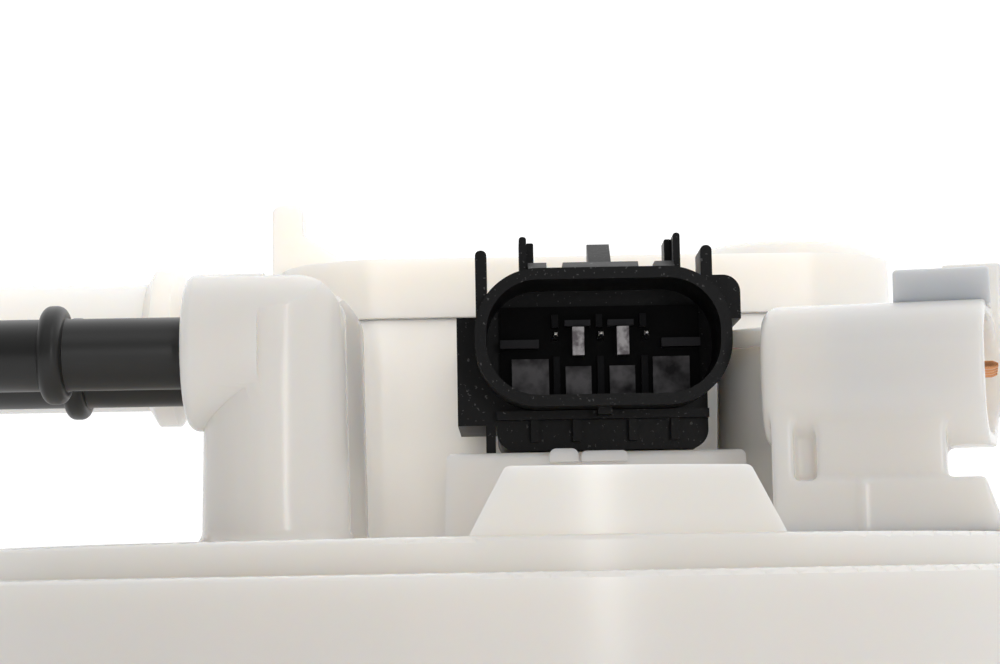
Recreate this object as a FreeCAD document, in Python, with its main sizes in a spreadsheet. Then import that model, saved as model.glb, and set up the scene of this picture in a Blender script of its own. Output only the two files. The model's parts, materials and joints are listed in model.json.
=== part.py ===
"""In-tank fuel pump module: flange head, two guide rods, sprung reservoir, pump and level sender.

The origin is the centre of the flange's seating plane. X points right, Y away from the front tab
and Z up, out of the tank. All lengths are in millimetres.
"""
import FreeCAD, Part
import math
import os
import Sketcher

SIZES = {
    # General clearances
    "press_gap": 0.03,
    "slide_gap": 0.06,
    "seat_gap": 0.3,
    "bite": 1.0,
    # Flange dish
    "lip_radius": 72.0,
    "lip_height": 4.0,
    "lip_width": 5.5,
    "ledge_height": 18.0,
    "ledge_width": 4.0,
    "deck_height": 21.3,
    "deck_wall": 3.0,
    "neck_inset": 9.0,
    "neck_depth": 8.0,
    "neck_wall": 2.5,
    "seat_land": 1.5,
    "seal_width": 4.4,
    "seal_depth": 2.2,
    "edge_round": 0.6,
    "rib_count": 8,
    "rib_depth": 5.0,
    "rib_wall": 1.6,
    "rib_start": 20.0,
    # Front tab
    "tab_x": 11.7,
    "tab_base": 29.7,
    "tab_top": 22.9,
    "tab_height": 6.3,
    "tab_wall": 2.2,
    "tab_round": 0.75,
    # Hose elbows
    "elbow_x": -24.5,
    "elbow_draft": 0.35,
    "root_round": 1.6,
    "outer_round": 5.5,
    "collar_face_x": -34.0,
    "collar_end_x": -25.7,
    "collar_round": 1.3,
    "return_y": -23.5,
    "return_axis": 42.35,
    "return_tower": 7.7,
    "return_collar": 8.6,
    "supply_y": 2.5,
    "supply_axis": 43.3,
    "supply_tower": 8.0,
    "supply_collar": 9.0,
    "nipple_radius": 4.0,
    "nipple_bore": 2.4,
    "nipple_end": 1.0,
    # Quick-connect spigots
    "return_spigot_radius": 3.945,
    "return_bead_radius": 5.4,
    "return_bead_x": -48.5,
    "return_tip_x": -69.0,
    "supply_spigot_radius": 4.745,
    "supply_bead_radius": 6.15,
    "supply_bead_x": -51.0,
    "supply_tip_x": -72.0,
    "bead_width": 2.6,
    "spigot_wall": 1.5,
    "spigot_root": 7.0,
    # Vent housing
    "vent_y": 30.0,
    "vent_left_x": -29.0,
    "vent_right_x": 52.0,
    "vent_radius": 14.0,
    "vent_wall": 2.0,
    "vent_split": 50.4,
    "vent_top": 58.0,
    "vent_axis": 48.6,
    "vent_nipple_root": 5.0,
    "vent_spigot_radius": 8.5,
    "vent_spigot_bore": 6.6,
    "vent_bead_radius": 10.6,
    "vent_bead_x": -44.0,
    "vent_tip_x": -75.0,
    "fin_top": 67.0,
    "fin_wall": 4.0,
    "float_chamber_x": 30.0,
    "vent_float_radius": 9.6,
    "vent_float_height": 16.0,
    "vent_lift": 4.0,
    "cage_wall": 2.0,
    "needle_radius": 2.9,
    "needle_tip": 0.9,
    "needle_rise": 3.4,
    # Sensor
    "sensor_x": 11.6,
    "sensor_y": -17.5,
    "sensor_z": 44.1,
    "shroud_width": 28.9,
    "shroud_height": 15.6,
    "shroud_round": 7.2,
    "shroud_wall": 1.3,
    "shroud_depth": 12.5,
    "socket_depth": 11.0,
    "pin_pitch": 5.25,
    "pin_rise": 0.93,
    "pin_size": 0.64,
    "pin_length": 5.5,
    "sensor_back": 27.0,
    "pedestal_top": 31.4,
    "pedestal_left_x": -6.3,
    "pedestal_right_x": 27.5,
    "pedestal_front_y": -14.0,
    "pedestal_back_y": 12.0,
    "sensor_stem": 5.0,
    "pedestal_round": 0.8,
    "knob_x": 5.3,
    "knob_width": 3.3,
    "band_width": 5.2,
    "knob_reach": 1.2,
    "knob_height": 1.2,
    "knob_rise": 0.3,
    "hook_turn": 45.0,
    # Capped tower
    "tower_x": 34.6,
    "tower_y": -0.5,
    "tower_radius": 8.6,
    "tower_top": 45.8,
    # Main connector
    "main_x": 31.0,
    "main_y": -20.5,
    "main_turn": -12.0,
    "main_length": 23.0,
    "main_width": 17.0,
    "main_low": 30.9,
    "main_high": 46.5,
    "main_round": 6.0,
    "main_wall": 1.6,
    "main_floor": 7.0,
    "main_pitch": 3.4,
    "main_pin_size": 0.9,
    "main_pin_z": 38.9,
    "lead_radius": 1.1,
    "lead_pitch": 3.2,
    "lead_y": -5.0,
    # Guide rods and springs
    "rod_radius": 4.0,
    "rod_top": 15.0,
    "rod_reach": 6.0,
    "socket_radius": 8.0,
    "socket_end": -4.0,
    "clip_radius": 6.1,
    "clip_wall": 1.2,
    "spring_wire": 0.7,
    "spring_radius": 6.4,
    "spring_turns": 8,
    # Reservoir
    "reservoir_radius": 56.0,
    "reservoir_wall": 2.0,
    "reservoir_top": -80.0,
    "reservoir_height": 120.0,
    "reservoir_floor": 2.5,
    "foot_height": 3.0,
    "foot_radius": 5.0,
    "foot_circle": 44.0,
    "sleeve_radius": 8.4,
    "sleeve_wall": 1.8,
    "sleeve_length": 74.0,
    "guide_length": 16.0,
    "rim_band": 5.0,
    "cover_wall": 2.4,
    "cover_drop": 6.0,
    "cover_bore": 19.4,
    "skirt_wall": 1.8,
    "skirt_length": 26.0,
    "spoke_count": 3,
    "spoke_width": 9.0,
    "hook_count": 4,
    "hook_width": 8.0,
    "hook_reach": 1.5,
    # Pump
    "pump_radius": 19.0,
    "shell_wall": 1.5,
    "pump_bottom": -183.0,
    "pump_top": -106.0,
    "lip_turn": 1.0,
    "inlet_wall": 8.0,
    "bearing_wall": 5.0,
    "impeller_radius": 16.0,
    "impeller_wall": 3.2,
    "impeller_gap": 0.3,
    "blade_count": 36,
    "shaft_radius": 1.5,
    "stack_radius": 13.4,
    "stack_length": 34.0,
    "commutator_radius": 6.5,
    "magnet_inner": 14.1,
    "magnet_length": 42.0,
    "cap_skirt": 18.0,
    "cap_plate": 7.0,
    "turret_radius": 13.5,
    "turret_height": 9.0,
    "outlet_x": -7.0,
    "outlet_rise": 15.0,
    "valve_radius": 2.2,
    # Level sender
    "pad_width": 28.0,
    "pad_reach": 1.5,
    "pad_low": -158.0,
    "pad_high": -100.0,
    "pivot_z": -130.0,
    "sender_plate": 2.0,
    "sender_depth": 6.0,
    "sender_width": 22.0,
    "card_wall": 0.8,
    "boss_radius": 5.0,
    "boss_length": 3.6,
    "wire_radius": 1.25,
    "wire_bend": 3.0,
    "arm_length": 108.0,
    "arm_drop": 32.0,
    "arm_swing": 66.0,
    "holder_wall": 3.2,
    "float_radius": 13.0,
    "float_length": 30.0,
    "float_clip_wall": 1.2,
    "float_play": 0.4,
    # Strainer, jet pump, inlet valve
    "strainer_length": 58.0,
    "strainer_width": 34.0,
    "strainer_height": 8.0,
    "seam_reach": 2.0,
    "seam_wall": 1.0,
    "jet_x": -28.0,
    "jet_y": -29.0,
    "jet_radius": 5.0,
    "inlet_valve_y": 38.0,
    "inlet_valve_radius": 8.5,
    "inlet_stem": 1.6,
}

doc = FreeCAD.newDocument("FuelPumpModule")
sheet = doc.addObject("Spreadsheet::Sheet", "Sizes")
for row, (alias, number) in enumerate(SIZES.items(), start=1):
    sheet.set(f"A{row}", alias)
    sheet.set(f"B{row}", str(number))
    sheet.setAlias(f"B{row}", alias)
doc.recompute()


class Dim:
    """A dimension that knows both its number and its formula over the sheet's cells."""

    def __init__(self, number, formula):
        self.number = float(number)
        self.formula = formula

    def __float__(self):
        return self.number

    def __add__(self, other):
        return Dim(self.number + float(other), f"({self.formula} + {formula(other)})")

    def __radd__(self, other):
        return Dim(float(other) + self.number, f"({formula(other)} + {self.formula})")

    def __sub__(self, other):
        return Dim(self.number - float(other), f"({self.formula} - {formula(other)})")

    def __rsub__(self, other):
        return Dim(float(other) - self.number, f"({formula(other)} - {self.formula})")

    def __mul__(self, other):
        return Dim(self.number * float(other), f"({self.formula} * {formula(other)})")

    __rmul__ = __mul__

    def __truediv__(self, other):
        return Dim(self.number / float(other), f"({self.formula} / {formula(other)})")

    def __neg__(self):
        return Dim(-self.number, f"(-1 * {self.formula})")


def formula(value):
    """The formula of a dimension, or the plain number as text."""
    return value.formula if isinstance(value, Dim) else repr(float(value))


class Sheet:
    """Reads the sheet's cells as attributes: size.lip_radius is the cell of that alias."""

    def __getattr__(self, alias):
        return Dim(sheet.get(alias), f"Sizes.{alias}")


size = Sheet()
AXIS_X = FreeCAD.Vector(1, 0, 0)
AXIS_Y = FreeCAD.Vector(0, 1, 0)
AXIS_Z = FreeCAD.Vector(0, 0, 1)

# How a piece that is built about +Z is turned to lie along another axis
TURNS = {
    "Z": FreeCAD.Rotation(AXIS_X, AXIS_Y, AXIS_Z, "ZXY"),
    "-Z": FreeCAD.Rotation(AXIS_X, -AXIS_Y, -AXIS_Z, "ZXY"),
    "X": FreeCAD.Rotation(-AXIS_Z, AXIS_Y, AXIS_X, "ZXY"),
    "-X": FreeCAD.Rotation(AXIS_Z, AXIS_Y, -AXIS_X, "ZXY"),
    "Y": FreeCAD.Rotation(AXIS_X, -AXIS_Z, AXIS_Y, "ZXY"),
    "-Y": FreeCAD.Rotation(AXIS_X, AXIS_Z, -AXIS_Y, "ZXY"),
}
# How a flat outline (across, up) is laid into the world, and the way it is pushed out
FACES = {
    "XY": (FreeCAD.Rotation(AXIS_X, AXIS_Y, AXIS_Z, "ZXY"), AXIS_Z),
    "XZ": (FreeCAD.Rotation(AXIS_X, AXIS_Z, -AXIS_Y, "ZXY"), AXIS_Y),
    "YZ": (FreeCAD.Rotation(AXIS_Y, AXIS_Z, AXIS_X, "ZXY"), AXIS_X),
}
FULL_TURN = 360
ARMATURE_SLOTS = 8
pieces = []


def bind(item, prop, value):
    """Set one property of an object, by formula where the value comes from the sheet."""
    if isinstance(value, Dim):
        item.setExpression(prop, value.formula)
    elif "." in prop:
        item.setExpression(prop, repr(float(value)))
    else:
        setattr(item, prop, value)


def locate(item, x=0, y=0, z=0, turn=TURNS["Z"]):
    """Place an object at (x, y, z) with a fixed turn."""
    item.Placement = FreeCAD.Placement(FreeCAD.Vector(float(x), float(y), float(z)), turn)
    for axis, value in zip("xyz", (x, y, z)):
        if isinstance(value, Dim):
            item.setExpression(f"Placement.Base.{axis}", value.formula)
    return item


def keep(item, label):
    """Name a finished sub-part and list it for export."""
    item.Label = label
    pieces.append(item)
    return item


# Solids from primitives and booleans

def box(name, low, high):
    """A block between two corners."""
    made = doc.addObject("Part::Box", name)
    for prop, near, far in zip(("Length", "Width", "Height"), low, high):
        bind(made, prop, far - near)
    return locate(made, *low)


def cylinder(name, radius, length, x, y, z, axis="Z"):
    """A round bar from (x, y, z) along an axis."""
    made = doc.addObject("Part::Cylinder", name)
    bind(made, "Radius", radius)
    bind(made, "Height", length)
    return locate(made, x, y, z, TURNS[axis])


def cone(name, near_radius, far_radius, length, x, y, z, axis="Z"):
    """A tapered round bar from (x, y, z) along an axis."""
    made = doc.addObject("Part::Cone", name)
    bind(made, "Radius1", near_radius)
    bind(made, "Radius2", far_radius)
    bind(made, "Height", length)
    return locate(made, x, y, z, TURNS[axis])


def fuse(name, *solids):
    made = doc.addObject("Part::MultiFuse", name)
    made.Shapes = list(solids)
    return made


def common(name, *solids):
    made = doc.addObject("Part::MultiCommon", name)
    made.Shapes = list(solids)
    return made


def cut(name, base, *tools):
    """Take the tools away from the base."""
    made = doc.addObject("Part::Cut", name)
    made.Base = base
    made.Tool = tools[0] if len(tools) == 1 else fuse(name + "_tools", *tools)
    return made


# Sketched outlines

def draw(sketch, corners):
    """Draw one closed outline. A corner is (across, up), or (across, up, rounding radius)."""
    count = len(corners)
    spots = [FreeCAD.Vector(float(corner[0]), float(corner[1]), 0) for corner in corners]
    arrive, leave = [], []
    for index, spot in enumerate(spots):
        back = (spots[index - 1] - spot).normalize()
        ahead = (spots[(index + 1) % count] - spot).normalize()
        reach = 0.0
        if len(corners[index]) > 2:
            reach = float(corners[index][2]) / math.tan(back.getAngle(ahead) / 2)
        arrive.append(spot + back * reach)
        leave.append(spot + ahead * reach)
    first = sketch.GeometryCount
    for index in range(count):
        sketch.addGeometry(Part.LineSegment(leave[index], arrive[(index + 1) % count]), False)
    for index, corner in enumerate(corners):
        line_in = first + (index - 1) % count
        line_out = first + index
        if len(corner) > 2:
            held, point = round_corner(sketch, corner[2], spots[index], arrive[index],
                                       leave[index], line_in, line_out), 1
        else:
            sketch.addConstraint(Sketcher.Constraint("Coincident", line_in, 2, line_out, 1))
            held, point = line_out, 1
        for kind, rail, value in (("DistanceX", -2, corner[0]), ("DistanceY", -1, corner[1])):
            if float(value) == 0:
                sketch.addConstraint(Sketcher.Constraint("PointOnObject", held, point, rail))
                continue
            dimension = Sketcher.Constraint(kind, -1, 1, held, point, float(value))
            number = sketch.addConstraint(dimension)
            if isinstance(value, Dim):
                sketch.setExpression(f"Constraints[{number}]", value.formula)


def round_corner(sketch, radius, spot, arrive, leave, line_in, line_out):
    """Round one corner with a tangent arc, and return the point that marks the sharp corner."""
    middle = (arrive + leave) * 0.5
    inward = (middle - spot).normalize()
    reach = (arrive - spot).Length
    centre = spot + inward * math.hypot(reach, float(radius))
    through = centre - inward * float(radius)
    arc = sketch.addGeometry(Part.Arc(arrive, through, leave), False)
    gaps = [sketch.getPoint(arc, end).distanceToPoint(arrive) for end in (1, 2)]
    starts_in = gaps[0] < gaps[1]
    near, far = (1, 2) if starts_in else (2, 1)
    sketch.addConstraint(Sketcher.Constraint("Tangent", line_in, 2, arc, near))
    sketch.addConstraint(Sketcher.Constraint("Tangent", line_out, 1, arc, far))
    number = sketch.addConstraint(Sketcher.Constraint("Radius", arc, float(radius)))
    if isinstance(radius, Dim):
        sketch.setExpression(f"Constraints[{number}]", radius.formula)
    mark = sketch.addGeometry(Part.Point(spot), True)
    sketch.addConstraint(Sketcher.Constraint("PointOnObject", mark, 1, line_in))
    sketch.addConstraint(Sketcher.Constraint("PointOnObject", mark, 1, line_out))
    return mark


def extruded(name, corners, face, start, depth, lean=0.0, pivot_z=0):
    """Push a closed outline out along the normal of its face, from start.

    The outline may lean in its own plane, by degrees about a point at pivot_z.
    """
    turn, way = FACES[face]
    outline = doc.addObject("Sketcher::SketchObject", name + "_outline")
    draw(outline, corners)
    place = [0, 0, pivot_z]
    place[("YZ", "XZ", "XY").index(face)] = start
    locate(outline, *place, FreeCAD.Rotation(way, lean).multiply(turn))
    made = doc.addObject("Part::Extrusion", name)
    made.Base = outline
    made.DirMode = "Custom"
    made.Dir = way
    bind(made, "LengthFwd", depth)
    made.Solid = True
    return made


def origin_plane(body, role):
    """One of the body's own origin planes or axes."""
    return next(item for item in body.Origin.OriginFeatures if item.Role == role)


def body_sketch(body, name, role="XZ_Plane"):
    """An empty sketch on one of the body's origin planes."""
    made = body.newObject("Sketcher::SketchObject", name)
    made.AttachmentSupport = [(origin_plane(body, role), "")]
    made.MapMode = "FlatFace"
    return made


def turned(name, corners, x=0, y=0, z=0, axis="Z"):
    """A body turned about its own axis. Corners are (radius, height)."""
    body = doc.addObject("PartDesign::Body", name)
    profile = body_sketch(body, name + "_profile")
    draw(profile, corners)
    spin = body.newObject("PartDesign::Revolution", name + "_turned")
    spin.Profile = profile
    spin.ReferenceAxis = (profile, ["V_Axis"])
    spin.Angle = FULL_TURN
    return locate(body, x, y, z, TURNS[axis])


def polar(body, features, count, name):
    """Repeat a body's features about its Z axis."""
    made = body.newObject("PartDesign::PolarPattern", name)
    made.Originals = features
    made.Axis = (origin_plane(body, "Z_Axis"), [""])
    made.Angle = FULL_TURN
    bind(made, "Occurrences", count)
    body.Tip = made
    return made


def ring_corners(inner, outer, low, high):
    """The section of a plain ring or tube."""
    return [(inner, low), (outer, low), (outer, high), (inner, high)]


def tube_along(points, radius, bore=0.0):
    """A tube along straight runs joined by tangent arcs, as large as the runs allow."""
    spots = [FreeCAD.Vector(*[float(value) for value in point]) for point in points]
    edges, start = [], spots[0]
    for before, corner, after in zip(spots, spots[1:], spots[2:]):
        back, ahead = before - corner, after - corner
        half_turn = (math.pi - back.getAngle(ahead)) / 2
        reach = 0.45 * min(back.Length, ahead.Length)
        bend = reach / math.tan(half_turn)
        near, far = corner + back.normalize() * reach, corner + ahead.normalize() * reach
        inward = ((near + far) * 0.5 - corner).normalize()
        middle = corner + inward * (math.hypot(reach, bend) - bend)
        edges += [Part.LineSegment(start, near).toShape(), Part.Arc(near, middle, far).toShape()]
        start = far
        print(f"tube bend radius {bend:.1f}")
    edges.append(Part.LineSegment(start, spots[-1]).toShape())
    path = Part.Wire(edges)
    along = spots[1] - spots[0]

    def swept(section_radius):
        section = Part.Wire(Part.Circle(spots[0], along, section_radius).toShape())
        return path.makePipeShell([section], True, True)

    solid = swept(float(radius))
    return solid.cut(swept(float(bore))) if bore else solid


def coded(label, shape, x=0, y=0, z=0):
    """A sub-part whose shape is worked out in code: a swept wire, tube or coil."""
    made = doc.addObject("Part::Feature", label)
    made.Shape = shape
    return keep(locate(made, x, y, z), label)


# Radii and heights that several sub-parts share
drum_radius = size.lip_radius - size.lip_width
deck_radius = drum_radius - size.ledge_width
neck_radius = size.lip_radius - size.neck_inset
deck_under = size.deck_height - size.deck_wall
cavity_radius = neck_radius - size.neck_wall
groove_inner = neck_radius + size.seat_land
reservoir_bottom = size.reservoir_top - size.reservoir_height
floor_top = reservoir_bottom + size.reservoir_floor
reservoir_inner = size.reservoir_radius - size.reservoir_wall
rod_x = size.reservoir_radius - size.reservoir_wall - size.sleeve_radius + size.bite
guide_bottom = size.reservoir_top - size.guide_length
lead_x = size.reservoir_radius + size.pad_reach + size.sender_depth - 2.5


# Flange: dish with ledge, deck, neck and seal groove

def flange_dish():
    corners = [
        (0, size.deck_height),
        (deck_radius, size.deck_height, size.edge_round),
        (deck_radius, size.ledge_height),
        (drum_radius, size.ledge_height, size.edge_round),
        (drum_radius, size.lip_height),
        (size.lip_radius, size.lip_height, size.edge_round),
        (size.lip_radius, 0, size.edge_round),
        (groove_inner + size.seal_width, 0),
        (groove_inner + size.seal_width, size.seal_depth),
        (groove_inner, size.seal_depth),
        (groove_inner, 0),
        (neck_radius, 0),
        (neck_radius, -size.neck_depth),
        (cavity_radius, -size.neck_depth),
        (cavity_radius, deck_under),
        (0, deck_under),
    ]
    return turned("flange_dish", corners)


def flange_ribs():
    """Stiffening ribs that radiate under the deck."""
    body = doc.addObject("PartDesign::Body", "flange_ribs")
    profile = body_sketch(body, "flange_rib_profile")
    low = deck_under - size.rib_depth
    high = deck_under + size.bite / 2
    draw(profile, ring_corners(size.rib_start, cavity_radius + size.bite, low, high))
    rib = body.newObject("PartDesign::Pad", "flange_rib")
    rib.Profile = profile
    bind(rib, "Length", size.rib_wall)
    rib.Midplane = True
    polar(body, [rib], size.rib_count, "flange_rib_pattern")
    turn = FreeCAD.Rotation(AXIS_Z, FULL_TURN / 2 / float(size.rib_count))
    return locate(body, 0, 0, 0, turn)


def front_tab():
    """Trapezoid tab that stands on the deck's front edge and follows its curve."""
    low = size.deck_height - size.bite
    top = size.deck_height + size.tab_height
    outline = [
        (size.tab_x - size.tab_base / 2, low),
        (size.tab_x + size.tab_base / 2, low),
        (size.tab_x + size.tab_base / 2, size.deck_height),
        (size.tab_x + size.tab_top / 2, top, size.tab_round),
        (size.tab_x - size.tab_top / 2, top, size.tab_round),
        (size.tab_x - size.tab_base / 2, size.deck_height),
    ]
    slab = extruded("tab_slab", outline, "XZ", -deck_radius - size.bite, deck_radius)
    inner = deck_radius - size.tab_wall - size.edge_round
    outer = deck_radius - size.edge_round
    curve = turned("tab_curve", ring_corners(inner, outer, low, top + size.bite))
    return common("front_tab", slab, curve)


def elbow(side, y, axis_z, tower, collar):
    """Right-angle hose elbow: tapered tower, level collar and a rounded outer corner."""
    corners = [
        (0, size.deck_height - size.bite),
        (tower + size.elbow_draft + size.root_round * 1.2, size.deck_height - size.bite),
        (tower + size.elbow_draft + size.root_round * 1.2, size.deck_height),
        (tower + size.elbow_draft, size.deck_height, size.root_round),
        (tower, axis_z),
        (0, axis_z),
    ]
    column = turned(side + "_tower", corners, size.elbow_x, y, 0)
    reach = size.collar_end_x - size.collar_face_x
    sleeve = turned(side + "_collar", [
        (0, 0),
        (collar, 0),
        (collar, reach, size.collar_round),
        (0, reach),
    ], size.collar_end_x, y, axis_z, "-X")
    top = axis_z + collar - size.edge_round
    right = size.elbow_x + tower
    left = size.collar_end_x - size.bite
    outline = [(left, axis_z - collar), (right, axis_z - collar), (right, top, size.outer_round), (left, top)]
    block = extruded(side + "_corner_block", outline, "XZ", y - collar, collar * 2)
    level = cylinder(side + "_corner_level", collar, tower * 3, left, y, axis_z, "X")
    upright = cylinder(side + "_corner_upright", tower, collar * 3, size.elbow_x, y, axis_z - collar)
    corner = common(side + "_corner", block, level, upright)
    nipple = cylinder(side + "_nipple", size.nipple_radius, deck_under + size.bite - size.nipple_end,
                      size.elbow_x, y, size.nipple_end)
    return fuse(side + "_elbow", column, sleeve, corner, nipple)


def elbow_bores(side, y, axis_z, spigot_radius):
    """The socket that holds the spigot and the passage down through the tower."""
    socket = cylinder(side + "_socket", spigot_radius + size.press_gap, size.spigot_root,
                      size.collar_face_x, y, axis_z, "X")
    reach = size.elbow_x - size.collar_face_x + size.nipple_bore
    level = cylinder(side + "_level_bore", size.nipple_bore, reach, size.collar_face_x, y, axis_z, "X")
    upright = cylinder(side + "_bore", size.nipple_bore, axis_z - size.nipple_end, size.elbow_x, y,
                       size.nipple_end)
    return fuse(side + "_bores", socket, level, upright)


def sensor_pedestal():
    """Drafted block that carries the pressure sensor, with a knob and a band on its front."""
    low, top = size.deck_height - size.bite, size.pedestal_top

    def drafted(near, far):
        draft = size.elbow_draft
        return [
            (near - draft, low),
            (far + draft, low),
            (far, top, size.pedestal_round),
            (near, top, size.pedestal_round),
        ]

    left, right = size.pedestal_left_x, size.pedestal_right_x
    front, back = size.pedestal_front_y, size.pedestal_back_y
    margin = size.bite * 2
    across = extruded("pedestal_across", drafted(left, right), "XZ", front - margin,
                      back - front + margin * 2)
    along = extruded("pedestal_along", drafted(front, back), "YZ", left - margin, right - left + margin * 2)
    block = common("pedestal_block", across, along)
    knob_low = top - size.knob_height
    knob_top = top + size.knob_rise
    knob_end = size.knob_x + size.knob_width
    knob = extruded("pedestal_knob", [
        (size.knob_x, knob_low),
        (knob_end, knob_low),
        (knob_end, knob_top, size.pedestal_round),
        (size.knob_x, knob_top, size.pedestal_round),
    ], "XZ", front - size.knob_reach, size.knob_reach + size.bite)
    band_low = knob_end + size.seat_gap
    band = extruded("pedestal_band", [
        (band_low, knob_low),
        (band_low + size.band_width, knob_low),
        (band_low + size.band_width, top, size.edge_round),
        (band_low, top, size.edge_round),
    ], "XZ", front - size.knob_reach, size.knob_reach + size.bite)
    return fuse("sensor_pedestal", block, knob, band)


def sensor_bore():
    """Stepped hole under the sensor: its stem above, a small passage to the tank below."""
    x = size.sensor_x
    y = (size.pedestal_front_y + size.pedestal_back_y) / 2
    stem = cylinder("pedestal_socket", size.sensor_stem + size.seat_gap, size.pedestal_top, x, y,
                    size.deck_height)
    passage = cylinder("pedestal_passage", size.nipple_bore, size.pedestal_top, x, y, 0)
    return fuse("pedestal_bores", stem, passage)


def capped_tower():
    """Blind tower with a raised ring, behind the main connector."""
    corners = [
        (0, size.deck_height - size.bite),
        (size.tower_radius + size.elbow_draft * 2, size.deck_height - size.bite),
        (size.tower_radius, size.tower_top - size.root_round * 1.4),
        (size.tower_radius + size.edge_round, size.tower_top - size.root_round * 1.4),
        (size.tower_radius + size.edge_round, size.tower_top, size.edge_round),
        (0, size.tower_top),
    ]
    return turned("capped_tower", corners, size.tower_x, size.tower_y, 0)


def tower_core():
    """The tower is cored from below."""
    wall = size.vent_wall
    return cylinder("tower_core", size.tower_radius - wall, size.tower_top - wall * 2, size.tower_x,
                    size.tower_y, 0)


def main_outline(inset):
    """Cross-section of the main connector, across and up."""
    half = size.main_width / 2 - inset
    rounding = size.main_round - inset
    return [
        (-half, size.main_low + inset, rounding),
        (half, size.main_low + inset, rounding),
        (half, size.main_high - inset, rounding),
        (-half, size.main_high - inset, rounding),
    ]


def turn_main(item):
    """Swing a connector solid that was built along +X to where the connector stands."""
    turn = FreeCAD.Rotation(AXIS_Z, float(size.main_turn))
    item.Placement = FreeCAD.Placement(FreeCAD.Vector(float(size.main_x), float(size.main_y), 0), turn)
    item.setExpression("Placement.Base.x", size.main_x.formula)
    item.setExpression("Placement.Base.y", size.main_y.formula)
    item.setExpression("Placement.Rotation.Angle", "-1 * Sizes.main_turn")
    item.setExpression("Placement.Rotation.Axis.z", "-1")
    return item


def main_shroud():
    """Main connector on its pedestal, with the latch block on top and a taller far wall."""
    shell = extruded("main_shell", main_outline(0), "YZ", 0, size.main_length)
    half = size.main_width / 2
    low = size.deck_height
    shelf = size.main_low - size.root_round
    pedestal = box("main_pedestal", (0, -half + size.edge_round, low),
                   (size.main_length * 0.78, half - size.edge_round, shelf))
    neck = box("main_neck", (size.root_round * 2, -half + size.root_round, low),
               (size.main_length * 0.72, half - size.root_round, size.main_low + size.main_round))
    latch = box("main_latch", (size.main_length * 0.6, -size.main_pitch, size.main_high - size.bite),
                (size.main_length, size.main_pitch, size.main_high + size.main_round * 0.68))
    fence_y = half - size.main_wall
    fence = box("main_fence", (size.main_length * 0.8, fence_y, size.main_low + size.main_round),
                (size.main_length + size.main_wall, half, size.main_high + size.main_round * 1.2))
    return turn_main(fuse("main_shroud", shell, pedestal, neck, latch, fence))


def main_socket():
    """The mating socket, open at the connector's mouth, and the pins' slots through its floor."""
    socket = extruded("main_socket_space", main_outline(size.main_wall), "YZ", size.main_floor,
                      size.main_length)
    slots = [main_pin(f"main_slot_{index}", index, size.press_gap) for index in range(4)]
    return turn_main(fuse("main_socket", socket, *slots))


def main_pin(name, index, extra):
    """One L-shaped main terminal: level blade in the socket, leg down through the deck."""
    half = size.main_pin_size / 2 + extra
    y = (index - 1.5) * size.main_pitch
    leg_x = size.main_floor - size.main_pin_size * 2
    tip = size.main_length - size.bite if extra == 0 else size.main_floor + size.bite
    level = box(name + "_blade", (leg_x - half, y - half, size.main_pin_z - half),
                (tip, y + half, size.main_pin_z + half))
    leg = box(name + "_leg", (leg_x - half, y - half, size.rib_depth),
              (leg_x + half, y + half, size.main_pin_z + half))
    return fuse(name, level, leg)


def plug_block(name, gap):
    """The block of the lead plug, or with a gap the room that the ribs leave for it."""
    half_x, half_y = size.main_pitch + gap, size.main_width / 2 + gap
    leg_x = size.main_floor - size.main_pin_size * 2
    return box(name, (leg_x - half_x, -half_y, size.nipple_end - gap),
               (leg_x + half_x, half_y, deck_under - size.seat_gap + gap))


def plug_recess():
    """Room under the deck for the lead plug, and the slots above it for the main terminals."""
    slots = [main_pin(f"deck_slot_{index}", index, size.press_gap) for index in range(4)]
    return turn_main(fuse("plug_recess", plug_block("plug_room", size.seat_gap), *slots))


def make_main_connector():
    keep(cut("main_connector", main_shroud(), main_socket()), "main_connector")


def rod_sockets():
    """Bosses under the deck that the guide rods are pressed into."""
    return [cylinder(f"rod_boss_{side}", size.socket_radius, deck_under + size.bite - size.socket_end,
                     x, 0, size.socket_end) for side, x in (("left", -rod_x), ("right", rod_x))]


def rod_bores():
    return [cylinder(f"rod_bore_{side}", size.rod_radius + size.press_gap, size.rod_top - size.socket_end,
                     x, 0, size.socket_end) for side, x in (("left", -rod_x), ("right", rod_x))]


def vent_passages():
    """Openings through the deck under the vent float."""
    x = size.float_chamber_x
    return cylinder("vent_passage", size.vent_float_radius - size.cage_wall, size.deck_height, x,
                    size.vent_y, 0)


def make_flange():
    solid = fuse(
        "flange_solid", flange_dish(), flange_ribs(), front_tab(),
        elbow("return", size.return_y, size.return_axis, size.return_tower, size.return_collar),
        elbow("supply", size.supply_y, size.supply_axis, size.supply_tower, size.supply_collar),
        sensor_pedestal(), capped_tower(), *rod_sockets())
    keep(cut(
        "flange", solid,
        elbow_bores("return", size.return_y, size.return_axis, size.return_spigot_radius),
        elbow_bores("supply", size.supply_y, size.supply_axis, size.supply_spigot_radius),
        sensor_bore(), tower_core(), plug_recess(), vent_passages(), *rod_bores()), "flange")


# Spigots: turned tubes with a quick-connect bead, pressed into their elbows

def spigot(label, y, axis_z, radius, bead_radius, bead_x, tip_x):
    length = size.collar_face_x + size.spigot_root - tip_x
    bead = size.collar_face_x + size.spigot_root - bead_x
    bore = radius - size.spigot_wall
    half = size.bead_width / 2
    corners = [
        (bore, 0),
        (radius, 0),
        (radius, bead - half),
        (bead_radius, bead - half, half * 0.8),
        (bead_radius, bead + half, half * 0.8),
        (radius, bead + half),
        (radius, length - size.spigot_wall),
        (radius - size.spigot_wall * 0.6, length),
        (bore, length),
    ]
    x = size.collar_face_x + size.spigot_root
    keep(turned(label, corners, x, y, axis_z, "-X"), label)


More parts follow.
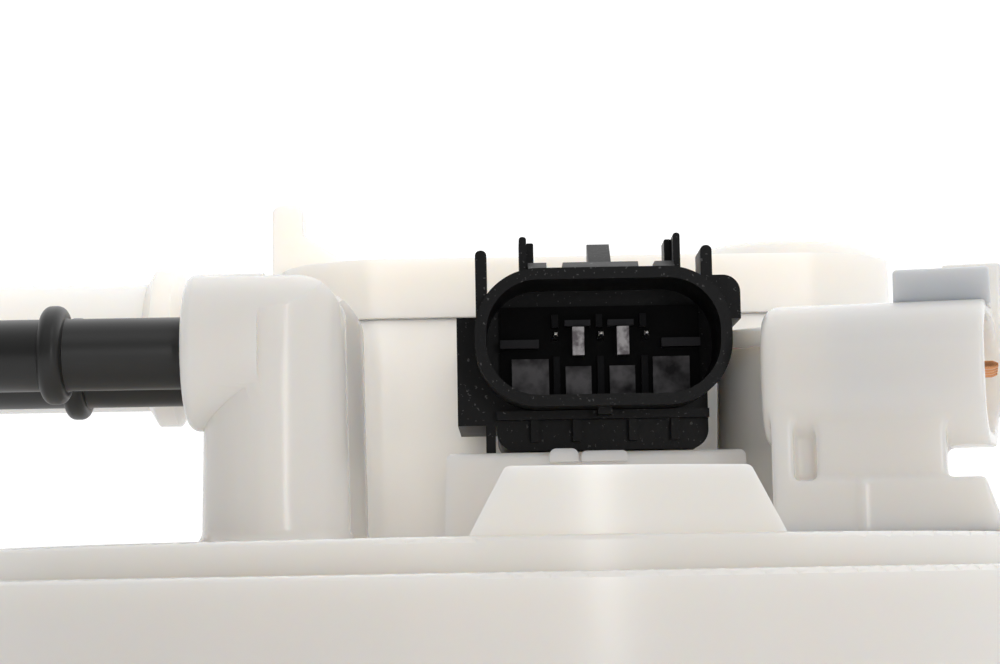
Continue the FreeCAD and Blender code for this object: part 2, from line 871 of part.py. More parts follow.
# Vent housing: a long round-ended chamber with its nipple, cover, float and cage

def round_ended(name, inset, low, high):
    """A long block with round ends in plan, inset all round."""
    left = size.vent_left_x + size.vent_radius
    right = size.vent_right_x - size.vent_radius
    radius = size.vent_radius - inset
    first = cylinder(name + "_left", radius, high - low, left, size.vent_y, low)
    last = cylinder(name + "_right", radius, high - low, right, size.vent_y, low)
    middle = box(name + "_middle", (left, size.vent_y - radius, low), (right, size.vent_y + radius, high))
    return fuse(name, first, last, middle)


def make_vent():
    wall = size.vent_wall
    low, high = size.deck_height, size.vent_split
    outer = round_ended("vent_outer", size.edge_round * 2, low, high)
    start_x = size.vent_left_x + size.vent_nipple_root
    nipple_corners = [
        (0, 0),
        (size.vent_spigot_radius, 0),
        (size.vent_spigot_radius, start_x - size.vent_bead_x - size.bead_width),
        (size.vent_bead_radius, start_x - size.vent_bead_x - size.bead_width / 2),
        (size.vent_bead_radius, start_x - size.vent_bead_x + size.bead_width / 2),
        (size.vent_spigot_radius, start_x - size.vent_bead_x + size.bead_width),
        (size.vent_spigot_radius, start_x - size.vent_tip_x - size.bead_width),
        (size.vent_spigot_radius - size.spigot_wall / 2, start_x - size.vent_tip_x),
        (0, start_x - size.vent_tip_x),
    ]
    nipple = turned("vent_nipple", nipple_corners, start_x, size.vent_y, size.vent_axis, "-X")
    inner = round_ended("vent_inner", size.edge_round * 2 + wall, low + wall, size.vent_top)
    bore = cylinder("vent_bore", size.vent_spigot_bore, start_x - size.vent_tip_x, start_x, size.vent_y,
                    size.vent_axis, "-X")
    chamber_x = size.float_chamber_x
    below = cylinder("vent_below", size.vent_float_radius - size.cage_wall, wall * 3, chamber_x,
                     size.vent_y, low - wall)
    keep(cut("vent_housing", fuse("vent_solid", outer, nipple), inner, bore, below), "vent_housing")

    # Float cage: a cup around the float, with an orifice plate above it
    cage_low = low + wall
    cup_height = size.vent_float_height + size.vent_lift + size.slide_gap + size.cage_wall
    cage_outer = size.vent_float_radius + size.slide_gap + size.cage_wall - size.bite
    float_space = size.vent_float_radius + size.slide_gap
    cage_top = cage_low + cup_height
    needle_slope = (size.needle_radius - size.needle_tip) / size.needle_rise
    orifice_low = size.needle_radius + size.slide_gap
    orifice_high = orifice_low - needle_slope * size.cage_wall
    cage = turned("vent_cage_cup", [
        (orifice_low, cage_top - size.cage_wall),
        (float_space, cage_top - size.cage_wall),
        (float_space, cage_low),
        (cage_outer, cage_low),
        (cage_outer, cage_top),
        (orifice_high, cage_top),
    ], chamber_x, size.vent_y, 0)
    windows = [
        box("cage_window_x", (chamber_x - cage_outer * 2, size.vent_y - size.cage_wall, cage_low),
            (chamber_x + cage_outer * 2, size.vent_y + size.cage_wall, cage_low + size.vent_lift)),
        box("cage_window_y", (chamber_x - size.cage_wall, size.vent_y - cage_outer * 2, cage_low),
            (chamber_x + size.cage_wall, size.vent_y + cage_outer * 2, cage_low + size.vent_lift)),
    ]
    keep(cut("vent_cage", cage, *windows), "vent_cage")

    # Float and its needle
    float_top = cage_low + size.vent_float_height
    socket = size.cage_wall
    keep(turned("vent_float", [
        (0, cage_low),
        (size.vent_float_radius, cage_low, size.edge_round),
        (size.vent_float_radius, float_top, size.edge_round),
        (size.needle_radius, float_top),
        (size.needle_radius, float_top - socket),
        (0, float_top - socket),
    ], chamber_x, size.vent_y, 0), "vent_float")
    keep(turned("vent_needle", [
        (0, float_top - socket),
        (size.needle_radius - size.press_gap, float_top - socket),
        (size.needle_radius - size.press_gap, float_top),
        (size.needle_tip, float_top + size.needle_rise),
        (0, float_top + size.needle_rise),
    ], chamber_x, size.vent_y, 0), "vent_needle")

    # Cover: a cap welded on the split line, with the fin at its left end
    cap = round_ended("cover_outer", 0, high, size.vent_top)
    hollow = round_ended("cover_inner", size.edge_round * 2 + wall, high, size.vent_top - wall)
    fin_x = size.vent_left_x - size.bite
    fin = extruded("cover_fin", [
        (fin_x, high + wall),
        (fin_x, size.fin_top, size.edge_round * 2),
        (fin_x + size.fin_wall, size.fin_top, size.edge_round * 2),
        (fin_x + size.fin_wall, size.fin_top - wall * 2),
        (fin_x + size.fin_wall * 2.2, size.vent_top + wall * 0.9),
        (fin_x + size.fin_wall * 2.8, size.vent_top - wall),
        (fin_x + size.fin_wall * 2.8, high + wall),
    ], "XZ", size.vent_y - wall * 1.5, wall * 3)
    crown_x = size.vent_right_x - size.vent_radius
    crown = turned("cover_crown", [
        (0, high + wall),
        (size.vent_radius - size.edge_round, high + wall),
        (size.vent_radius - size.edge_round, size.vent_top + wall, wall * 2),
        (0, size.vent_top + wall * 1.4),
    ], crown_x, size.vent_y, 0)
    arch = cylinder("cover_arch", size.vent_spigot_radius + size.press_gap, size.vent_radius * 2, start_x,
                    size.vent_y, size.vent_axis, "-X")
    keep(cut("vent_cover", fuse("cover_solid", cap, fin, crown), hollow, arch), "vent_cover")


# Pressure sensor: shroud with a three-way socket, guide ears, latch and body

def shroud_outline(inset):
    across = size.shroud_width / 2 - inset
    up = size.shroud_height / 2 - inset
    rounding = size.shroud_round - inset
    return [
        (-across, -up, rounding),
        (across, -up, rounding),
        (across, up, rounding),
        (-across, up, rounding),
    ]


EARS = (
    # left, right, bottom, top, front, back, tip rounding: the upright guides round the shroud
    ("ear_left", -14.3, -13.0, -2.0, 10.1, 1.5, 8.0, 0.6),
    ("ear_right", 11.2, 12.5, 3.0, 10.3, 1.5, 8.0, 0.6),
    ("guide_left", -9.3, -8.45, 5.0, 11.8, 3.0, 9.0, 0.35),
    ("guide_left_rear", -8.45, -7.6, 5.0, 11.5, 6.0, 10.0, 0.2),
    ("guide_right", 8.25, 9.05, 5.0, 12.0, 3.0, 9.0, 0.35),
    ("guide_right_rear", 7.45, 8.25, 5.0, 11.7, 6.0, 10.0, 0.2),
)
LEDGES = (("left", -8.3, -6.2), ("middle", -4.35, 4.2), ("right", 6.1, 8.25))


def sensor_ear(name, left, right, low, high, front, back, tip):
    """One upright guide with a rounded tip."""
    outline = [(left, low), (right, low), (right, high, tip), (left, high, tip)]
    return extruded("sensor_" + name, outline, "XZ", front, back - front)


def sensor_ledge(name, left, right):
    """A low step on the shroud whose front face slopes back, as a lead-in for the plug's latch."""
    outline = [(1.2, 6.5), (6.0, 6.5), (6.0, 8.75), (2.7, 8.75), (1.2, 7.9)]
    return extruded("sensor_ledge_" + name, outline, "YZ", left, right - left)


def make_sensor():
    x, y, z = size.sensor_x, size.sensor_y, size.sensor_z
    shell = extruded("sensor_shell", shroud_outline(0), "XZ", 0, size.shroud_depth)
    socket = extruded("sensor_socket", shroud_outline(size.shroud_wall), "XZ", -size.bite,
                      size.socket_depth + size.bite)
    ears = [sensor_ear(*ear) for ear in EARS] + [sensor_ledge(*ledge) for ledge in LEDGES]
    ears.append(box("sensor_under_tab", (-0.7, 2.0, -8.6), (0.9, 6.0, -6.5)))
    latch = extruded("sensor_latch", [
        (5.5, 6.5),
        (11.0, 6.5),
        (11.0, 11.8),
        (9.8, 11.8),
        (5.5, 8.9),
    ], "YZ", -1.3, 2.6)
    front, back = size.shroud_depth * 0.55, size.sensor_back
    low = size.pedestal_top - size.sensor_z + size.seat_gap
    body = extruded("sensor_block", [
        (-12.1, low, 2.2),
        (12.1, low, 2.2),
        (12.1, 2.5),
        (16.2, 2.5),
        (16.2, 7.6, 2.0),
        (-9.0, 7.6),
        (-9.0, 3.1),
        (-16.6, 3.1),
        (-16.6, -9.4),
        (-12.1, -9.4),
    ], "XZ", front, back - front)
    lip = box("sensor_lip", (-12.1, front - size.root_round, -8.9), (12.1, front, -7.9))
    leg = box("sensor_leg", (-13.4, front, -12.6), (-12.3, front + size.pin_pitch, -9.0))
    bars = [box(f"sensor_bar_{index}", (spot - 0.45, front - size.root_round * 0.6, low + 1.0),
                (spot + 0.45, front, -8.0)) for index, spot in enumerate((-7.8, -3.0, 3.4, 8.2))]
    stem_y = (size.pedestal_front_y + size.pedestal_back_y) / 2 - size.sensor_y
    stem_low = size.deck_height - size.sensor_z + size.seat_gap
    groove = size.root_round * 1.2
    stem = turned("sensor_stem", [
        (0, stem_low),
        (size.sensor_stem, stem_low),
        (size.sensor_stem, stem_low + size.root_round),
        (size.sensor_stem - groove, stem_low + size.root_round),
        (size.sensor_stem - groove, stem_low + size.root_round + groove * 1.3),
        (size.sensor_stem, stem_low + size.root_round + groove * 1.3),
        (size.sensor_stem, low + size.bite),
        (0, low + size.bite),
    ], 0, stem_y, 0)
    pin_slots = [sensor_pin(f"sensor_slot_{index}", index, size.press_gap) for index in range(3)]
    port = cylinder("sensor_port", size.sensor_stem / 3, size.pin_pitch * 2, 0, stem_y, stem_low)
    solid = fuse("sensor_solid", shell, *ears, latch, body, lip, leg, *bars, stem)
    keep(locate(cut("sensor_body", solid, socket, port, *pin_slots), x, y, z), "sensor_body")
    pins = [sensor_pin(f"sensor_pin_{index}", index, 0) for index in range(3)]
    keep(locate(fuse("sensor_pins", *pins), x, y, z), "sensor_pins")
    seal_low = stem_low + size.root_round + size.seat_gap / 2
    keep(turned("sensor_seal", ring_corners(
        size.sensor_stem - groove + size.press_gap, size.sensor_stem + size.seat_gap - size.press_gap,
        seal_low, seal_low + groove), size.sensor_x, size.sensor_y + stem_y, size.sensor_z), "sensor_seal")


def sensor_pin(name, index, extra):
    """One square pin that stands in the socket floor."""
    half = size.pin_size / 2 + extra
    centre = (index - 1) * size.pin_pitch
    front = size.socket_depth - size.pin_length if extra == 0 else size.socket_depth - size.bite
    back = size.shroud_depth + size.pin_pitch
    return box(name, (centre - half, front, size.pin_rise - half),
               (centre + half, back, size.pin_rise + half))


def make_sensor_insert():
    """Moulded blocks on the socket floor that key the mating plug and fence each pin."""
    floor = size.socket_depth
    blocks = [
        ("insert_plate", -11.6, 11.6, -6.1, 4.6, 0.8),
        ("key_left", -10.3, -6.0, -6.0, -1.6, 1.7),
        ("key_mid_left", -4.06, -1.08, -5.85, -2.5, 1.7),
        ("key_mid_right", 1.05, 4.0, -5.85, -2.5, 1.7),
        ("key_right", 6.07, 10.35, -5.8, -1.5, 1.7),
        ("fence_left", -3.26, -1.9, -1.4, 1.9, 3.6),
        ("fence_right", 1.88, 3.28, -1.4, 1.9, 3.6),
        ("rail_left", -11.6, -7.1, -0.4, 0.6, 2.4),
        ("rail_right", 7.1, 11.6, -0.4, 0.6, 2.4),
        ("bar_left", -4.1, -1.1, 2.1, 2.8, 2.6),
        ("bar_right", 0.9, 3.9, 2.1, 2.8, 2.6),
    ]
    ribs = [(f"rib_{index}", spot - 0.38, spot + 0.38, -5.85, -1.4, 2.2)
            for index, spot in enumerate((-5.1, 0.0, 5.1))]
    ribs += [(f"stub_{index}", spot - 0.38, spot + 0.38, 2.0, 3.5, 2.2)
             for index, spot in enumerate((-5.2, -0.1, 5.0))]
    solids = [box("insert_" + name, (left, floor - height, low), (right, floor, high))
              for name, left, right, low, high, height in blocks + ribs]
    holes = [sensor_pin(f"insert_slot_{index}", index, size.press_gap) for index in range(3)]
    for hole in holes:
        bind(hole, "Width", size.pin_length)
    envelope = extruded("insert_envelope", shroud_outline(size.shroud_wall + size.press_gap), "XZ", 0, floor)
    insert = cut("socket_insert", common("insert_solid", fuse("insert_blocks", *solids), envelope), *holes)
    keep(locate(insert, size.sensor_x, size.sensor_y, size.sensor_z), "socket_insert")


# Main terminals, seal, rods, clips and springs

def make_main_pins():
    pins = [main_pin(f"main_pin_{index}", index, 0) for index in range(4)]
    keep(turn_main(fuse("main_pins", *pins)), "main_pins")


def make_flange_seal():
    gap = size.seat_gap / 2
    inner = groove_inner + size.press_gap
    outer = groove_inner + size.seal_width - gap
    keep(turned("flange_seal", ring_corners(inner, outer, size.press_gap, size.seal_depth - size.press_gap)),
         "flange_seal")


def make_rods():
    for side, x in (("left", -rod_x), ("right", rod_x)):
        clip_top = guide_bottom - size.slide_gap
        clip_low = clip_top - size.clip_wall
        neck = size.rod_radius - size.spring_wire
        end = clip_low - size.rod_reach
        keep(turned("guide_rod_" + side, [
            (0, end),
            (size.rod_radius, end, size.edge_round),
            (size.rod_radius, clip_low),
            (neck, clip_low),
            (neck, clip_top),
            (size.rod_radius, clip_top),
            (size.rod_radius, size.rod_top, size.edge_round),
            (0, size.rod_top),
        ], x, 0, 0), "guide_rod_" + side)
        ring = turned("clip_ring_" + side, ring_corners(
            neck + size.press_gap, size.clip_radius, clip_low + size.press_gap,
            clip_top - size.press_gap), x, 0, 0)
        gap = box("clip_gap_" + side, (x - size.rod_radius * 0.6, 0, clip_low - size.bite),
                  (x + size.rod_radius * 0.6, size.clip_radius * 2, clip_top + size.bite))
        keep(cut("rod_clip_" + side, ring, gap), "rod_clip_" + side)


def make_springs():
    """Open-coil compression springs around the guide rods."""
    low = float(size.reservoir_top) + float(size.spring_wire) + float(size.press_gap)
    high = float(size.socket_end) - float(size.spring_wire) - float(size.press_gap)
    mean = float(size.spring_radius)
    pitch = (high - low) / float(size.spring_turns)
    for side, x in (("left", -rod_x), ("right", rod_x)):
        helix = Part.Wire(Part.makeHelix(pitch, high - low, mean))
        start = FreeCAD.Vector(mean, 0, 0)
        section = Part.makePolygon([
            start + FreeCAD.Vector(math.cos(angle), 0, math.sin(angle)) * float(size.spring_wire)
            for angle in [math.radians(45 + 90 * step) for step in range(5)]])
        coil = helix.makePipeShell([section], True, True)
        coded("spring_" + side, coil, x, 0, low)


# Reservoir: the swirl pot that stands on the tank floor

def make_reservoir():
    bowl = turned("reservoir_bowl", [
        (0, reservoir_bottom),
        (size.reservoir_radius, reservoir_bottom, size.root_round * 2),
        (size.reservoir_radius, size.reservoir_top - size.rim_band),
        (size.reservoir_radius + size.edge_round, size.reservoir_top - size.rim_band),
        (size.reservoir_radius + size.edge_round, size.reservoir_top),
        (reservoir_inner, size.reservoir_top),
        (reservoir_inner, floor_top, size.root_round),
        (0, floor_top),
    ])
    sleeves, bores = [], []
    for side, x in (("left", -rod_x), ("right", rod_x)):
        sleeves.append(cylinder("sleeve_" + side, size.sleeve_radius, size.sleeve_length, x, 0,
                                size.reservoir_top - size.sleeve_length))
        bores.append(cylinder("guide_bore_" + side, size.rod_radius + size.slide_gap, size.guide_length * 2,
                              x, 0, guide_bottom - size.bite))
        depth = size.sleeve_length - size.guide_length
        bores.append(cylinder("clip_bore_" + side, size.sleeve_radius - size.sleeve_wall, depth + size.bite,
                              x, 0, guide_bottom - depth - size.bite))
    feet = [foot(index) for index in range(3)]
    half = size.pad_width / 2
    pad_face = size.reservoir_radius + size.pad_reach
    pad = box("sender_pad", (reservoir_inner - size.bite, -half, size.pad_low),
              (pad_face, half, size.pad_high))
    rails = []
    for side, way in (("front", -1), ("back", 1)):
        inner = (size.sender_width / 2 + size.sender_plate) * way
        outer = inner + size.sender_plate * way * 1.5
        low_y, high_y = (outer, inner) if way < 0 else (inner, outer)
        rails.append(box("rail_" + side, (reservoir_inner, low_y, size.pad_low),
                         (pad_face + size.sender_plate * 2.2, high_y, size.pad_high)))
        hook = inner - size.sender_plate * way * 0.8
        low_y, high_y = (inner, hook) if way < 0 else (hook, inner)
        rails.append(box("rail_lip_" + side,
                         (pad_face + size.sender_plate + size.press_gap * 2, low_y, size.pad_low),
                         (pad_face + size.sender_plate * 2.2, high_y, size.pad_high)))
    rest = box("sender_stop", (pad_face - size.bite, -half, size.pad_low),
               (pad_face + size.sender_plate, half, size.pad_low + size.sender_plate))
    hollow = cylinder("pad_hollow", reservoir_inner, size.reservoir_height, 0, 0, floor_top)
    valve_y = size.inlet_valve_y
    stem_hole = cylinder("inlet_stem_hole", size.inlet_stem + size.slide_gap, size.reservoir_height, 0,
                         valve_y,
                         reservoir_bottom - size.bite)
    stem_hole_top = floor_top - reservoir_bottom + size.bite * 2
    bind(stem_hole, "Height", stem_hole_top)
    ports = []
    for index in range(4):
        angle = math.radians(45 + 90 * index)
        reach = size.inlet_valve_radius * 0.6
        ports.append(cylinder(f"inlet_port_{index}", size.inlet_stem, stem_hole_top, reach * math.cos(angle),
                              valve_y + reach * math.sin(angle), reservoir_bottom - size.bite))
    shell = cut("reservoir_pad", fuse("pad_solid", pad, *rails, rest), hollow)
    solid = fuse("reservoir_solid", bowl, *sleeves, *feet, shell)
    cover_top = size.reservoir_top - size.cover_drop
    windows = hook_ring("hook_windows", ring_corners(
        reservoir_inner - size.bite, size.reservoir_radius + size.bite * 2,
        cover_top - size.cover_wall - size.seat_gap, cover_top + size.seat_gap), size.hook_width + size.bite)
    keep(cut("reservoir", solid, windows, *bores, stem_hole, *ports), "reservoir")


def hook_ring(name, corners, width):
    """Blocks of one section, spaced evenly round the reservoir's rim between the guide sleeves."""
    body = doc.addObject("PartDesign::Body", name)
    profile = body_sketch(body, name + "_profile")
    draw(profile, corners)
    block = body.newObject("PartDesign::Pad", name + "_block")
    block.Profile = profile
    bind(block, "Length", width)
    block.Midplane = True
    polar(body, [block], size.hook_count, name + "_pattern")
    return locate(body, 0, 0, 0, FreeCAD.Rotation(AXIS_Z, float(size.hook_turn)))


def foot(index):
    """One of three round feet under the reservoir."""
    angle = math.radians(30 + 120 * index)
    return cylinder(f"foot_{index}", size.foot_radius, size.foot_height + size.bite,
                    size.foot_circle * math.cos(angle), size.foot_circle * math.sin(angle),
                    reservoir_bottom - size.foot_height)


def make_cover():
    """Spoked cover in the reservoir's mouth, with the skirt that hangs the pump."""
    top = size.reservoir_top - size.cover_drop
    low = top - size.cover_wall
    rim_outer = reservoir_inner - size.press_gap
    rim = turned("cover_rim", ring_corners(rim_outer - size.spoke_width / 2, rim_outer, low, top))
    skirt_outer = size.cover_bore + size.skirt_wall
    cap_top = size.pump_top + size.lip_turn
    skirt = turned("cover_skirt", [
        (size.turret_radius + size.seat_gap, cap_top + size.seat_gap),
        (size.cover_bore, cap_top + size.seat_gap),
        (size.cover_bore, size.pump_top - size.skirt_length),
        (skirt_outer, size.pump_top - size.skirt_length),
        (skirt_outer, top),
        (size.cover_bore, top),
        (size.cover_bore, cap_top + size.seat_gap + size.skirt_wall),
        (size.turret_radius + size.seat_gap, cap_top + size.seat_gap + size.skirt_wall),
    ])
    body = doc.addObject("PartDesign::Body", "cover_spokes")
    profile = body_sketch(body, "cover_spoke_profile")
    draw(profile, ring_corners(size.cover_bore + size.bite / 2, rim_outer - size.bite, low, top))
    spoke = body.newObject("PartDesign::Pad", "cover_spoke")
    spoke.Profile = profile
    bind(spoke, "Length", size.spoke_width)
    spoke.Midplane = True
    polar(body, [spoke], size.spoke_count, "cover_spoke_pattern")
    locate(body, 0, 0, 0, FreeCAD.Rotation(AXIS_Z, 30))
    hooks = hook_ring("cover_hooks", [
        (rim_outer - size.bite, low),
        (rim_outer, low),
        (rim_outer + size.hook_reach, top - size.edge_round),
        (rim_outer + size.hook_reach, top),
        (rim_outer - size.bite, top),
    ], size.hook_width)
    solid = fuse("cover_solid_ring", rim, skirt, body, hooks)
    gaps = [cylinder("cover_gap_" + side, size.sleeve_radius + size.seat_gap, size.cover_wall * 3, x, 0,
                     low - size.cover_wall) for side, x in (("left", -rod_x), ("right", rod_x))]
    jet_gap = cylinder("cover_gap_jet", size.jet_radius + size.seat_gap, size.cover_wall * 3, size.jet_x,
                       size.jet_y, low - size.cover_wall)
    keep(cut("reservoir_cover", solid, *gaps, jet_gap), "reservoir_cover")


# Pump

def make_pump():
    inner = size.pump_radius - size.shell_wall
    turn = size.lip_turn
    keep(turned("pump_shell", [
        (inner - turn * 2, size.pump_bottom - turn),
        (size.pump_radius, size.pump_bottom - turn, size.edge_round),
        (size.pump_radius, size.pump_top + turn, size.edge_round),
        (inner - turn * 2, size.pump_top + turn),
        (inner - turn * 2, size.pump_top),
        (inner, size.pump_top),
        (inner, size.pump_bottom),
        (inner - turn * 2, size.pump_bottom),
    ]), "pump_shell")

    fit = inner - size.press_gap
    plate_top = size.pump_bottom + size.inlet_wall
    chamber = size.impeller_wall + size.impeller_gap * 2
    chamber_radius = size.impeller_radius + size.impeller_gap
    nipple = size.nipple_radius + size.root_round
    nipple_low = size.pump_bottom - size.inlet_wall * 0.8
    keep(turned("inlet_plate", [
        (size.nipple_bore, nipple_low),
        (nipple, nipple_low),
        (nipple, size.pump_bottom),
        (fit, size.pump_bottom),
        (fit, plate_top),
        (chamber_radius, plate_top),
        (chamber_radius, plate_top - chamber),
        (size.nipple_bore, plate_top - chamber),
    ]), "inlet_plate")

    bearing_top = plate_top + size.bearing_wall
    bore = size.shaft_radius + size.slide_gap
    keep(turned("bearing_plate", ring_corners(bore, fit, plate_top, bearing_top)), "bearing_plate")

    shaft_low = plate_top - chamber + size.impeller_gap
    cap_low = size.pump_top - size.cap_plate
    shaft_top = cap_low + size.cap_plate * 0.7
    keep(turned("rotor_shaft", [
        (0, shaft_low),
        (size.shaft_radius, shaft_low),
        (size.shaft_radius, shaft_top),
        (0, shaft_top),
    ]), "rotor_shaft")
    make_impeller(shaft_low)

    magnet_low = bearing_top + turn
    stack_low = magnet_low + (size.magnet_length - size.stack_length) / 2
    stack_top = stack_low + size.stack_length
    hub = size.shaft_radius + size.press_gap
    commutator_top = cap_low - turn * 2
    stack = turned("armature_turned", [
        (hub, stack_low - turn * 2),
        (size.commutator_radius * 1.4, stack_low - turn * 2),
        (size.commutator_radius * 1.5, stack_low),
        (size.stack_radius, stack_low),
        (size.stack_radius, stack_top),
        (size.commutator_radius * 1.5, stack_top),
        (size.commutator_radius * 1.3, stack_top + turn * 2),
        (size.commutator_radius, stack_top + turn * 2),
        (size.commutator_radius, commutator_top),
        (hub, commutator_top),
    ])
    slots = [armature_slot(index, stack_low, stack_top) for index in range(ARMATURE_SLOTS)]
    keep(cut("armature", stack, *slots), "armature")

    magnet_ring = turned("magnet_ring", ring_corners(size.magnet_inner, inner - size.press_gap, magnet_low,
                                                     magnet_low + size.magnet_length))
    split = box("magnet_split", (-size.pump_radius, -size.nipple_radius, magnet_low - turn),
                (size.pump_radius, size.nipple_radius, magnet_low + size.magnet_length + turn))
    keep(cut("magnets", magnet_ring, split), "magnets")
    make_outlet_cap(fit, cap_low, stack_top, bore)
    make_isolator()


def make_impeller(low):
    """Turbine impeller: a disc with a ring of open vanes at its edge."""
    disc = turned("impeller", ring_corners(size.shaft_radius + size.press_gap, size.impeller_radius,
                                           0, size.impeller_wall), 0, 0, low)
    gap = size.impeller_radius * math.pi / size.blade_count
    outline = body_sketch(disc, "impeller_notch_outline", "XY_Plane")
    draw(outline, ring_corners(size.impeller_radius * 0.86, size.impeller_radius + size.bite,
                               gap / -2, gap / 2))
    notch = disc.newObject("PartDesign::Pocket", "impeller_notch")
    notch.Profile = outline
    notch.Type = "ThroughAll"
    notch.Reversed = True
    polar(disc, [notch], size.blade_count, "impeller_notches")
    keep(disc, "impeller")


def armature_slot(index, low, high):
    """A winding slot along the rotor stack."""
    half = size.stack_radius * 0.05
    outline = ring_corners(size.stack_radius * 0.72, size.stack_radius * 1.2, -half, half)
    return extruded(f"armature_slot_{index}", outline, "XY", low - size.bite / 4, high - low + size.bite / 2,
                    FULL_TURN / ARMATURE_SLOTS * index)


def make_outlet_cap(fit, cap_low, stack_top, bore):
    """Outlet cap: bearing, brush holders, turret and outlet nipple with its check valve."""
    skirt_low = size.pump_top - size.cap_skirt
    turret_top = size.pump_top + size.turret_height
    disc = turned("cap_disc", [
        (bore, cap_low),
        (fit - size.shell_wall, cap_low),
        (fit - size.shell_wall, skirt_low),
        (fit, skirt_low),
        (fit, size.pump_top),
        (size.turret_radius, size.pump_top),
        (size.turret_radius, turret_top, size.edge_round),
        (0, turret_top),
        (0, size.pump_top),
        (bore, size.pump_top),
    ])
    nipple_top = turret_top + size.outlet_rise
    barb = size.edge_round
    nipple = turned("cap_nipple", [
        (0, turret_top - size.bite),
        (size.nipple_radius, turret_top - size.bite),
        (size.nipple_radius, nipple_top - barb * 9),
        (size.nipple_radius - barb, nipple_top - barb * 9),
        (size.nipple_radius, nipple_top - barb * 5),
        (size.nipple_radius - barb, nipple_top - barb * 5),
        (size.nipple_radius, nipple_top - barb),
        (size.nipple_radius - barb, nipple_top),
        (0, nipple_top),
    ], size.outlet_x, size.supply_y, 0)
    holders, channels, brushes = [], [], []
    for side, way in (("left", -1), ("right", 1)):
        near = size.commutator_radius + size.bite
        far = fit - size.shell_wall / 2
        low_x, high_x = (-far, -near) if way < 0 else (near, far)
        holders.append(box("brush_holder_" + side, (low_x, -size.nipple_radius, skirt_low),
                           (high_x, size.nipple_radius, cap_low + size.bite)))
        slot_low_x, slot_high_x = (-far + size.bite * 2, 0) if way < 0 else (0, far - size.bite * 2)
        half = size.nipple_bore + size.press_gap
        channels.append(box("brush_channel_" + side, (slot_low_x, -half, skirt_low + size.bite * 2),
                            (slot_high_x, half, cap_low - size.bite)))
        start, end = size.commutator_radius + size.slide_gap, far - size.bite * 2 - size.press_gap
        low_x, high_x = (-end, -start) if way < 0 else (start, end)
        brushes.append(box("brush_" + side, (low_x, -size.nipple_bore,
                                             skirt_low + size.bite * 2 + size.press_gap),
                           (high_x, size.nipple_bore, cap_low - size.bite - size.press_gap)))
    seat_z = size.pump_top + size.bite * 2
    valve_space = cylinder("valve_space", size.valve_radius + size.slide_gap, nipple_top - seat_z,
                           size.outlet_x, size.supply_y, seat_z)
    inlet = cylinder("valve_inlet", size.valve_radius - size.edge_round, size.cap_plate * 2, size.outlet_x,
                     size.supply_y, cap_low - size.bite)
    blades = []
    for index, y in enumerate((-size.pin_pitch, size.pin_pitch)):
        blades.append(box(f"pump_blade_{index}", (size.pin_pitch, y - size.pin_pitch / 2, size.pump_top),
                          (size.pin_pitch + size.edge_round, y + size.pin_pitch / 2,
                           turret_top + size.turret_height * 0.9)))
    slots = []
    gap = size.press_gap
    for index, y in enumerate((-size.pin_pitch, size.pin_pitch)):
        slots.append(box(f"blade_slot_{index}",
                         (size.pin_pitch - gap, y - size.pin_pitch / 2 - gap, size.pump_top),
                         (size.pin_pitch + size.edge_round + gap, y + size.pin_pitch / 2 + gap,
                          turret_top + size.bite)))
    keep(cut("outlet_cap", fuse("cap_solid", disc, nipple, *holders), valve_space, inlet, *channels, *slots),
         "outlet_cap")
    keep(fuse("brushes", *brushes), "brushes")
    keep(fuse("pump_terminals", *blades), "pump_terminals")
    valve_top = seat_z + size.valve_radius * 3
    keep(turned("check_valve", [
        (0, seat_z),
        (size.valve_radius, seat_z),
        (size.valve_radius, valve_top - size.valve_radius),
        (size.valve_radius / 2, valve_top - size.valve_radius),
        (size.valve_radius / 2, valve_top),
        (0, valve_top),
    ], size.outlet_x, size.supply_y, 0), "check_valve")
    wire = float(size.slide_gap) * 4
    low = float(valve_top - size.valve_radius) + wire + float(size.press_gap)
    high = float(nipple_top) - float(size.edge_round) * 4
    mean = float(size.valve_radius) - wire
    helix = Part.Wire(Part.makeHelix((high - low) / 5, high - low, mean))
    section = Part.makePolygon([
        FreeCAD.Vector(mean + math.cos(angle) * wire, 0, math.sin(angle) * wire)
        for angle in [math.radians(45 + 90 * step) for step in range(5)]])
    coded("check_spring", helix.makePipeShell([section], True, True), size.outlet_x, size.supply_y, low)


def make_isolator():
    """Rubber ring that hangs the pump in the cover's skirt."""
    low = size.pump_top - size.skirt_length + size.bite
    inner = size.pump_radius + size.press_gap
    outer = size.cover_bore - size.press_gap
    keep(turned("pump_isolator", ring_corners(inner, outer, low, low + size.skirt_length * 0.7)),
         "pump_isolator")


# Strainer, inlet valve and jet pump in the reservoir

def make_strainer():
    low = floor_top + size.seat_gap
    high = low + size.strainer_height
    half, side = size.strainer_length / 2, size.strainer_width / 2
    pillow = extruded("strainer_pillow", [
        (-half, -side, size.strainer_width / 4),
        (half, -side, size.strainer_width / 4),
        (half, side, size.strainer_width / 4),
        (-half, side, size.strainer_width / 4),
    ], "XY", low, size.strainer_height)
    reach = size.seam_reach
    seam = extruded("strainer_seam", [
        (-half - reach, -side - reach, size.strainer_width / 4 + reach),
        (half + reach, -side - reach, size.strainer_width / 4 + reach),
        (half + reach, side + reach, size.strainer_width / 4 + reach),
        (-half - reach, side + reach, size.strainer_width / 4 + reach),
    ], "XY", low + (size.strainer_height - size.seam_wall) / 2, size.seam_wall)
    collar_radius = size.nipple_radius + size.root_round * 2
    collar = cylinder("strainer_collar", collar_radius,
                      size.pump_bottom - size.lip_turn - size.seat_gap - high
                      + size.bite, 0, 0, high - size.bite)
    bore = cylinder("strainer_bore", size.nipple_radius + size.root_round + size.press_gap,
                    size.strainer_height * 4, 0, 0, low + size.bite * 2)
    keep(cut("strainer", fuse("strainer_solid", pillow, seam, collar), bore), "strainer")


